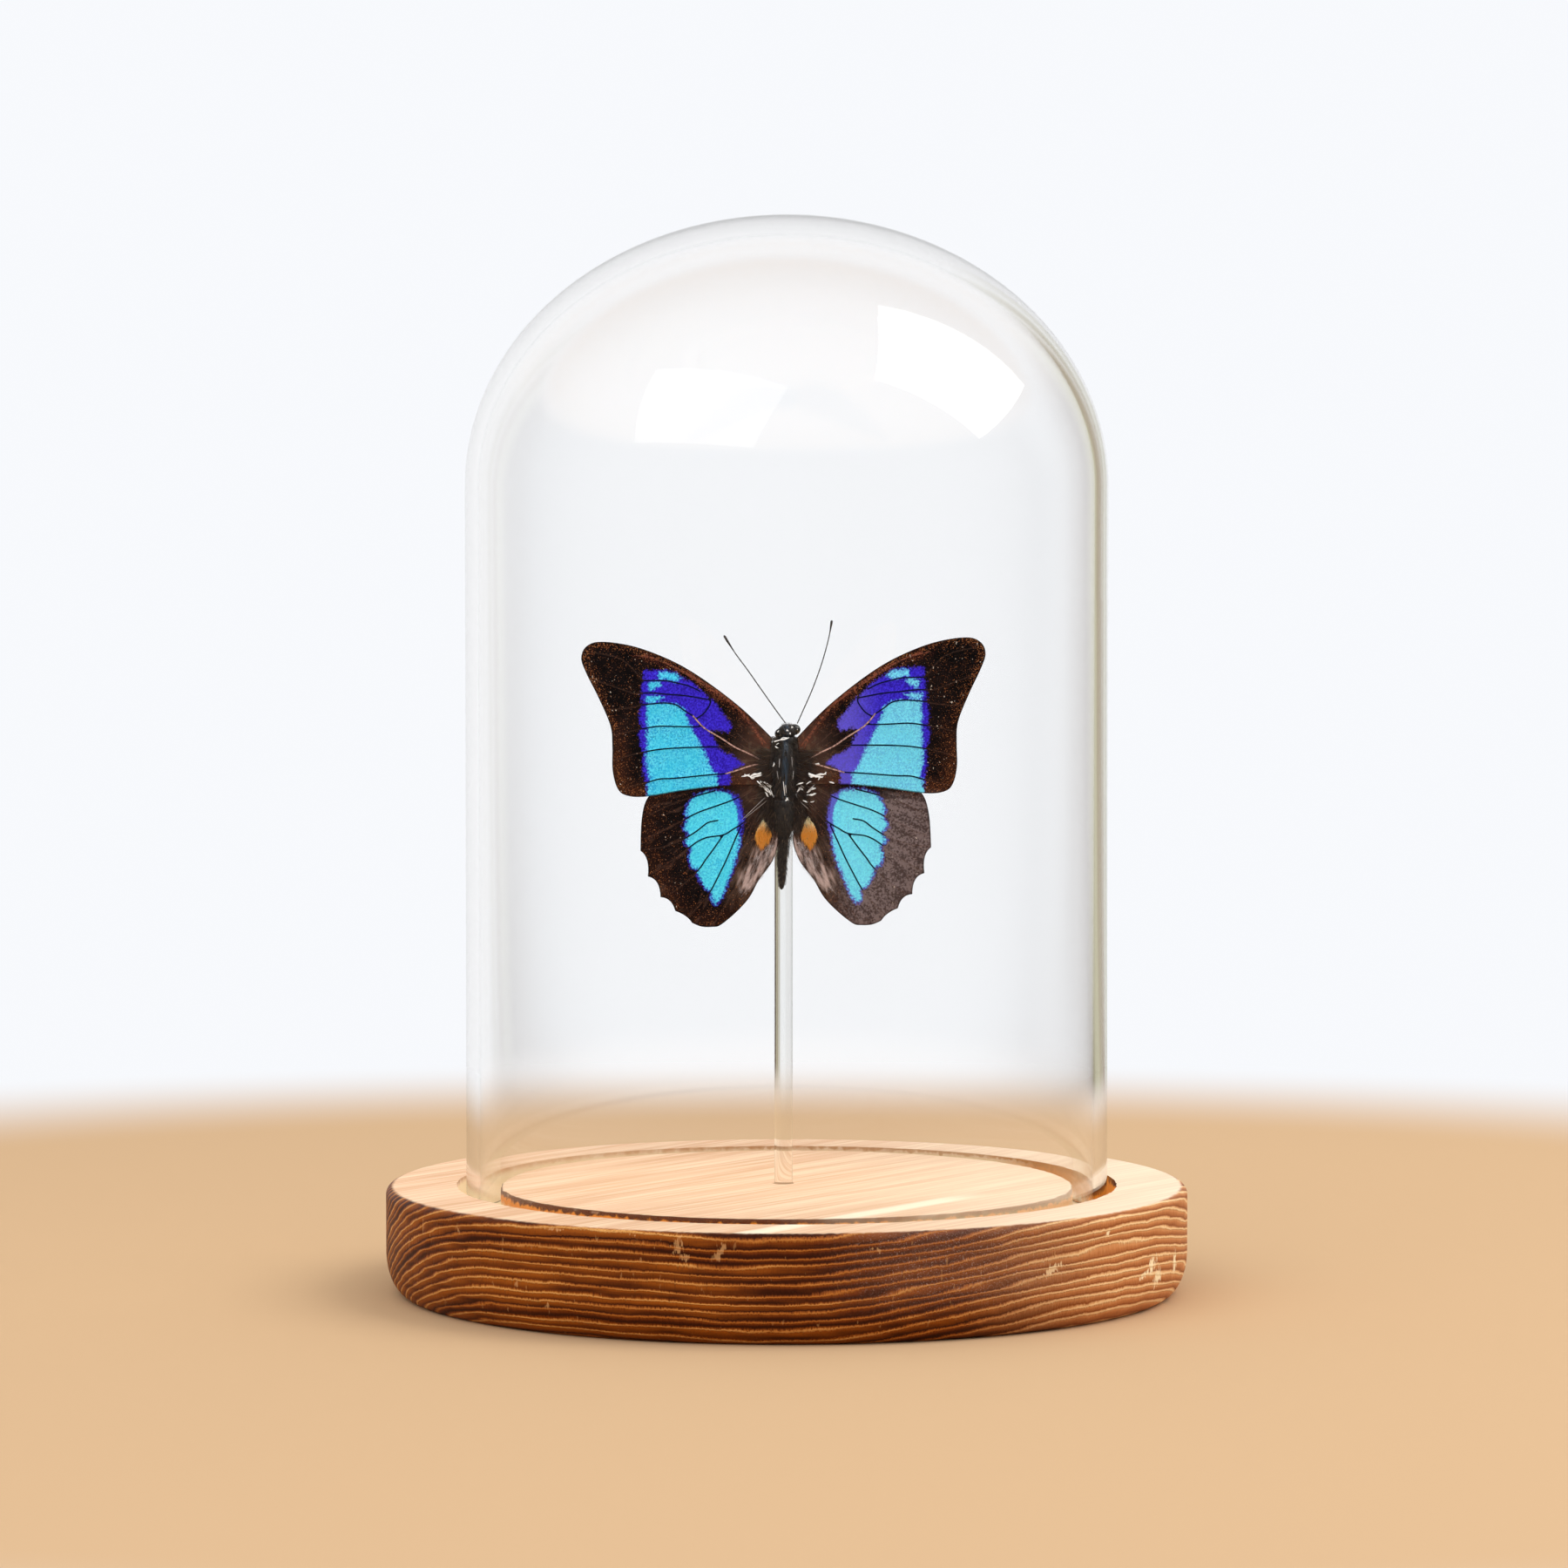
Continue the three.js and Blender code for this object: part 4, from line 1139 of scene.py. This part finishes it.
form, along, shade = hairs(roots, tips, sags, np.array(sizes))
coat = piece("dark_fur", *on_body([form]), along=along, shade=shade)
fur = Finish("dark_fur")
tone = fur.value("shade")
hair = fur.blend(tone.step(0.2, 0.8), paint(26, 18, 14), paint(62, 44, 32))
hair = hair.lay(tone.step(0.93, 0.97), 150, 122, 96)
hair = hair.lay(fur.value("along") * 0.3, 92, 70, 54)
near_neck = (fur.place("Z") - THORAX[2]).step(2.2, 5.0)
hair = hair.lay(near_neck * (0.25 + 0.5 * tone), 92, 78, 60)
fur.coat({"Base Color": hair, "Roughness": 0.42, "Specular IOR Level": 0.6})
fit(coat, "fur", fur)

# Locks drawn white as painted highlights, and dots as painted glints on the eyes: start and end in the
# butterfly's x and z, and a width.
GLINT_STROKES = [
    (-7.93, -0.95, -6.64, -0.56, 0.26), (-7.44, -0.56, -6.15, -1.08, 0.29),
    (-6.31, -0.75, -4.37, -0.36, 0.42), (-5.99, -1.08, -4.53, -0.75, 0.36),
    (-6.64, -0.88, -5.66, -1.3, 0.29), (-5.18, -1.79, -3.72, -3.15, 0.32),
    (-4.53, -1.85, -3.24, -3.47, 0.36), (-4.21, -2.56, -2.91, -4.02, 0.32),
    (-3.72, -2.11, -2.59, -3.15, 0.36), (-3.24, -2.24, -2.56, -2.89, 0.29),
    (-3.56, -3.96, -3.04, -4.77, 0.29), (-3.17, -3.15, -2.56, -4.44, 0.29),
    (-5.02, -2.5, -4.17, -2.99, 0.19), (-2.69, -3.31, -2.1, -4.93, 0.19),
    (-2.01, 1.58, -2.1, 0.87, 0.23), (-0.29, -1.85, 0.0, -4.51, 0.19), (0.13, -2.5, 0.26, -4.02, 0.16),
    (-0.35, -5.93, 0.65, -5.16, 0.32), (0.46, -4.9, 0.23, -5.8, 0.23), (0.36, -5.87, 0.81, -7.36, 0.13),
    (1.3, -5.74, 1.07, -7.03, 0.13), (2.17, -2.5, 3.4, -2.14, 0.26), (2.27, -3.83, 3.08, -2.82, 0.26),
    (2.56, -3.15, 3.4, -3.5, 0.26), (2.88, -2.5, 3.56, -3.02, 0.26), (4.05, -3.99, 5.34, -2.69, 0.29),
    (3.86, -2.5, 4.7, -1.85, 0.26), (4.37, -3.5, 5.67, -3.15, 0.29), (4.05, -4.44, 5.6, -4.31, 0.26),
    (4.86, -4.31, 5.77, -4.15, 0.23), (3.4, -5.41, 4.08, -5.77, 0.23), (4.86, -5.74, 5.31, -5.64, 0.23),
    (4.37, -0.49, 6.32, -1.08, 0.42), (4.7, -0.95, 5.73, -0.72, 0.36), (5.99, -0.75, 7.64, -0.4, 0.39),
    (6.19, -1.59, 6.51, -0.72, 0.32), (5.67, -0.98, 7.03, -0.98, 0.32), (8.26, -1.92, 9.1, -2.21, 0.29),
    (5.67, 1.35, 6.35, 1.45, 0.23), (-1.94, 5.59, 0.65, 6.18, 0.29), (-1.78, 4.59, -1.39, 4.27, 0.29),
    (-1.62, 4.95, -1.13, 5.21, 0.19), (0.42, 7.67, 0.52, 7.54, 0.29), (1.3, 8.31, 1.39, 8.18, 0.29),
    (0.88, 7.08, 0.97, 6.99, 0.26), (2.3, 7.83, 2.37, 7.7, 0.19), (-1.39, 7.34, -1.2, 7.47, 0.23),
    (-7.93, -8.98, -3.72, -4.93, 0.1), (-7.28, -8.65, -3.24, -5.41, 0.1),
    (2.92, -5.74, 4.37, -7.03, 0.1), (-1.45, 0.09, -1.2, -1.53, 0.13), (1.62, 0.09, 1.46, -1.53, 0.13),
    (-0.97, 2.36, -1.07, 0.74, 0.13), (1.27, 2.68, 1.39, 0.9, 0.13),
]
glint_strands = []
glint_tone = []
for x0, z0, x1, z1, wide in GLINT_STROKES:
    run = math.dist((x0, z0), (x1, z1))
    for strand in range(3 if wide > 0.2 else 1):
        bends = []
        for share in (0.0, 0.35, 0.7, 1.0):
            ax, az = x0 + (x1 - x0) * share, z0 + (z1 - z0) * share
            depth = min(wing_face(ax, az > WING_SEAM) - 0.5, thorax_face(ax, az) - 0.12)
            # rows above the thorax put white dots before the eyes, as painted glints
            if az > 6.4:
                depth = HEAD[1] - 1.9
            nudge = draw.normal(0, 1, 3) * np.array([0.3, 0.12, 0.3]) * wide * (strand > 0)
            bends.append(np.array([ax, depth - 0.22 * math.sin(math.pi * share) * min(run, 1), az]) + nudge)
        path = smooth_path(bends, 5)
        share = np.linspace(0, 1, len(path))
        size = wide * (0.3 if wide > 0.2 else 0.4) * (0.35 + 0.65 * np.sin(math.pi * (0.12 + 0.76 * share)))
        glint_strands.append(wire(leaned(path, 0.0), size, 8))
        glint_tone.append(np.full(len(glint_strands[-1][0]), 1 - min(wide / 0.25, 1) + 0.2 * draw.random()))
glint_piece = piece("painted_glints", *glint_strands, shade=np.concatenate(glint_tone))
glint_finish = Finish("painted_glint_hair")
tone = glint_finish.value("shade")
# painted highlights: the wide locks are white and the thin ones light grey
glint_finish.coat({
    "Base Color": glint_finish.blend(tone.step(0.2, 0.8), paint(255, 253, 250), paint(176, 164, 160)),
    "Roughness": 0.2,
    "Specular IOR Level": 0.8,
    "Coat Weight": 0.5,
})
fit(glint_piece, "fur", glint_finish)

# ---------- hindwing tufts ----------
# Beside the abdomen each hindwing carries a flat tuft of orange scent hairs,
# pale at its upper end, and a pinkish-grey fuzz along the inner fold.

TUFTS = {
    -1: np.array([(4.2, -8.6), (5.1, -10.2), (5.7, -11.5), (5.4, -12.6), (4.6, -14.0), (4.0, -13.2),
                  (3.0, -12.3), (2.6, -11.2), (3.3, -9.9)]),
    1: np.array([(4.1, -8.3), (3.2, -10.4), (2.8, -11.9), (3.6, -12.9), (4.7, -14.0), (5.4, -12.7),
                 (5.9, -11.7), (5.5, -10.2), (4.7, -9.0)]),
}


def scatter(loop, count):
    """Points spread at random inside a loop."""
    low, high = loop.min(0), loop.max(0)
    kept = []
    while len(kept) < count:
        spot = draw.uniform(low, high)
        if within(spot[None], loop)[0]:
            kept.append(spot)
    return np.array(kept)


def lay_hairs(name, loops, count, length, comb, spread, lift, size, finish):
    """Hairs that lie on both hindwings inside a loop, combed away from the wing's root."""
    parts = []
    for side in (-1, 1):
        spots = scatter(loops[side], count)
        sway = draw.normal(0, spread, count) + comb * np.interp(-spots[:, 1], [10, 14, 21], [0, 0.5, 1])
        reach = draw.uniform(*length, count)
        ends = spots + np.stack([np.sin(sway) * reach, -np.cos(sway) * reach], 1)
        inside = depth_in(ends, HINDWING_OUTLINE) > 0.9
        ends = np.where(inside[:, None], ends, spots + (ends - spots) * 0.15)
        start = on_wing(side, HINDWING_ROOT, spots, 0.14)
        finish_at = on_wing(side, HINDWING_ROOT, ends, 0.2 + draw.uniform(0, lift, count))
        sag = np.tile([0, -lift * 0.5, 0], (count, 1))
        parts.append(hairs(start, finish_at, sag, size))
    made = piece(name, *[part[0] for part in parts], along=np.concatenate([part[1] for part in parts]),
                 shade=np.concatenate([part[2] for part in parts]))
    fit(made, "wing_scales", finish)


tuft = Finish("scent_tuft")
drop_down = (THORAX[2] - 8.6 - tuft.place("Z")) / 6.0 + (tuft.value("shade") - 0.5) * 0.24
tint = tuft.blend(drop_down.step(0.02, 0.46), paint(255, 250, 205), paint(255, 172, 58))
tint = tint.lay(drop_down.step(0.8, 1.15), 232, 124, 42)
tint = tint.lay(tuft.value("shade").step(0.5, 1.0) * 0.5, 255, 206, 116)
tuft.coat({"Base Color": tint, "Roughness": 0.5})
lay_hairs("orange_tufts", TUFTS, count=760, length=(0.6, 1.6), comb=0.0, spread=0.12, lift=0.5, size=0.056,
          finish=tuft)

fuzz = Finish("inner_fuzz")
tint = fuzz.blend(fuzz.value("shade").step(0.3, 1.0), paint(110, 88, 82), paint(238, 214, 208))
tint = tint.lay(fuzz.mottle(0.9, 2.0).step(0.5, 0.62) * 0.6, 250, 240, 238)
fuzz.coat({"Base Color": tint, "Roughness": 0.6})
lay_hairs("inner_fold_fuzz", {-1: HIND_GREY, 1: HIND_GREY}, count=800, length=(0.8, 2.2), comb=0.62,
          spread=0.16, lift=0.12, size=0.028, finish=fuzz)

# ---------- antennae ----------
# Two fine jointed threads that spring from between the eyes and thicken
# slowly into slender clubs.

ANTENNAE = {
    "left": [(0.1, -0.7, 8.9), (-1.3, -0.8, 10.8), (-2.8, -0.9, 12.9), (-4.9, -1.2, 15.9),
             (-7.0, -1.4, 18.9), (-9.2, -1.5, 21.9), (-11.3, -1.5, 25.2)],
    "right": [(2.3, -0.7, 8.8), (3.4, -0.9, 11.3), (5.1, -1.2, 15.2), (6.8, -1.4, 19.9), (8.1, -1.5, 24.6),
              (8.7, -1.5, 28.0)],
}
thread = Finish("antenna_horn")
thread.coat({
    "Base Color": thread.blend(thread.mottle(0.5).step(0.4, 0.7), paint(30, 26, 24), paint(78, 68, 60)),
    "Roughness": 0.45,
})
for word, points in ANTENNAE.items():
    path = smooth_path(points, 24)
    share = np.linspace(0, 1, len(path))
    size = 0.092 + 0.016 * np.abs(np.sin(share * 60)) + 0.12 * np.clip((share - 0.86) / 0.08, 0, 1)
    size[-3:] *= (0.85, 0.6, 0.3)
    antenna = piece(f"antenna_{word}_thread", wire(leaned(path, 0.0), size, 12))
    fit(antenna, "horn", thread, f"antenna_{word}")

# ---------- table, light and camera ----------
# A pale table that fades into a pale surround, a softbox high on the right and a
# weaker one at the front left, and a long lens from a little above. The bright
# field behind and the darker screens beside it show only in the glass.

TABLE_TOP = -0.02
TABLE_RINGS = (0.0, 150.0, 300.0, 600.0, 1500.0, 6000.0)
FADE_START, FADE_END = 285, 430
SCREENS_START = 330
table = piece("table", turned([(radius, TABLE_TOP) for radius in TABLE_RINGS], 96))
cloth = Finish("table_top")
PALE_AIR = (0.935, 0.95, 0.98, 1)
SIDE_AIR = (0.87, 0.88, 0.90, 1)
WINDOW = (1.05, 1.065, 1.09, 1)
CLEAR_AIR = (0.97, 0.975, 0.99, 1)
DIM_ROOM = (0.035, 0.033, 0.033, 1)

# screens at the sides, by bearing: 0.5 is straight behind the dome
SCREENS = [
    (0.24, SIDE_AIR), (0.27, (0.40, 0.38, 0.40, 1)), (0.33, SIDE_AIR),
    (0.40, CLEAR_AIR), (0.542, CLEAR_AIR), (0.548, (0.60, 0.58, 0.46, 1)),
    (0.555, (0.60, 0.58, 0.46, 1)), (0.562, (0.92, 0.92, 0.88, 1)), (0.574, (0.34, 0.25, 0.17, 1)),
    (0.581, (0.34, 0.25, 0.17, 1)), (0.588, (0.66, 0.64, 0.48, 1)), (0.604, (0.60, 0.58, 0.42, 1)),
    (0.618, (0.16, 0.11, 0.07, 1)), (0.73, (0.14, 0.10, 0.07, 1)), (0.78, SIDE_AIR),
]

DOME_FACES = 4


def surround_seen(finish, east, north, near_horizon):
    """The surround's colour by the kind of ray: plain to the camera; in the glass, a window behind,
    a dim front, and the screens where light has passed the rod or was mirrored inside the glass."""
    seen = finish.node("ShaderNodeLightPath", {}, {}, "Is Camera Ray")
    bent = finish.node("ShaderNodeLightPath", {}, {}, "Is Glossy Ray")
    mirrored = finish.node("ShaderNodeLightPath", {}, {}, "Glossy Depth")
    passed = finish.node("ShaderNodeLightPath", {}, {}, "Transmission Depth")
    bearing = east.math("ARCTAN2", north) / math.pi * 0.5 + 0.5
    flags = finish.node("ShaderNodeValToRGB", {"stops": SCREENS}, [bearing])
    past_dome = (passed - DOME_FACES).math("MAXIMUM", 0.0)
    thick = bent * (mirrored + past_dome).math("MINIMUM", 1.0)
    around = finish.blend(north.step(0.5, 0.85), SIDE_AIR, CLEAR_AIR)
    around = finish.blend(near_horizon * thick, around, flags)
    around = finish.blend(north.step(0.975, 0.996), around, WINDOW)
    mirrored_once = bent * (1 - (mirrored - 1).math("ABSOLUTE").math("MINIMUM", 1.0))
    dim = mirrored_once * (0.6 + 0.4 * near_horizon) * (1 - north.step(0.3, 0.7))
    around = finish.blend(dim, around, DIM_ROOM)
    return finish.blend(seen, around, PALE_AIR)


east, north = cloth.place("X"), cloth.place("Y")
far = (east * east + north * north).math("SQRT")
board = cloth.node("ShaderNodeBsdfDiffuse", {}, {"Color": paint(206, 172, 134)})
haze = surround_seen(cloth, east / far, north / far, far.step(SCREENS_START, FADE_END))
air = cloth.node("ShaderNodeEmission", {}, {"Color": haze, "Strength": 1.0})
cloth.surface(cloth.node("ShaderNodeMixShader", {}, [far.step(FADE_START, FADE_END), board, air]))
table.data.materials.append(cloth.material)

world = bpy.data.worlds.new("surround")
bpy.context.scene.world = world
world.use_nodes = True
sky = Finish("surround", world)
heading = sky.node("ShaderNodeTexCoord", {}, {}, "Generated")
east, north, rising = (sky.node("ShaderNodeSeparateXYZ", {}, [heading], axis) for axis in "XYZ")
around = surround_seen(sky, east, north, 1 - rising.math("ABSOLUTE").step(0.25, 0.6))
out = sky.tree.nodes.new("ShaderNodeOutputWorld")
light = sky.node("ShaderNodeBackground", {}, {"Color": around})
sky.tree.links.new(light.socket, out.inputs["Surface"])


def softbox(name, turn, lift, roll, distance, wide, high, watts, colour):
    """A square light that faces the dome's crown from an azimuth and a height, rolled, in degrees."""
    lamp = bpy.data.lights.new(name, "AREA")
    lamp.shape = "RECTANGLE"
    lamp.size = wide
    lamp.size_y = high
    lamp.energy = watts
    lamp.color = colour
    made = bpy.data.objects.new(name, lamp)
    bpy.context.scene.collection.objects.link(made)
    a, e = math.radians(turn), math.radians(lift)
    back = np.array([math.sin(a) * math.cos(e), -math.cos(a) * math.cos(e), math.sin(e)])
    made.location = np.array([0.0, 0.0, 0.12]) + back * distance
    made.rotation_mode = "QUATERNION"
    facing_dome = Vector(back).to_track_quat("Z", "Y")
    made.rotation_quaternion = facing_dome @ Quaternion((0, 0, 1), math.radians(roll))
    made.visible_camera = False
    return made


softbox("softbox_right", turn=84, lift=46, roll=22, distance=0.95, wide=0.60, high=0.72, watts=4.4,
        colour=(1.0, 0.98, 0.95))
fill = softbox("softbox_left", turn=-35, lift=40, roll=0, distance=1.1, wide=0.9, high=0.7, watts=3.0,
               colour=(1.0, 0.99, 0.97))
fill.visible_glossy = False

SENSOR = 36.0
FRAME_PIXELS = 1800
FOCAL_PIXELS = 6764
LOOK_DOWN = 3.03

lens = bpy.data.cameras.new("camera")
lens.sensor_width = SENSOR
lens.lens = SENSOR * FOCAL_PIXELS / FRAME_PIXELS
lens.clip_start = 0.05
lens.clip_end = 20.0
camera = bpy.data.objects.new("camera", lens)
camera.location = (-0.0005, -1.1, 0.1531)
camera.rotation_euler = (math.radians(90 - LOOK_DOWN), 0, 0)
bpy.context.scene.collection.objects.link(camera)
bpy.context.scene.camera = camera
bpy.context.scene.view_settings.view_transform = "Standard"
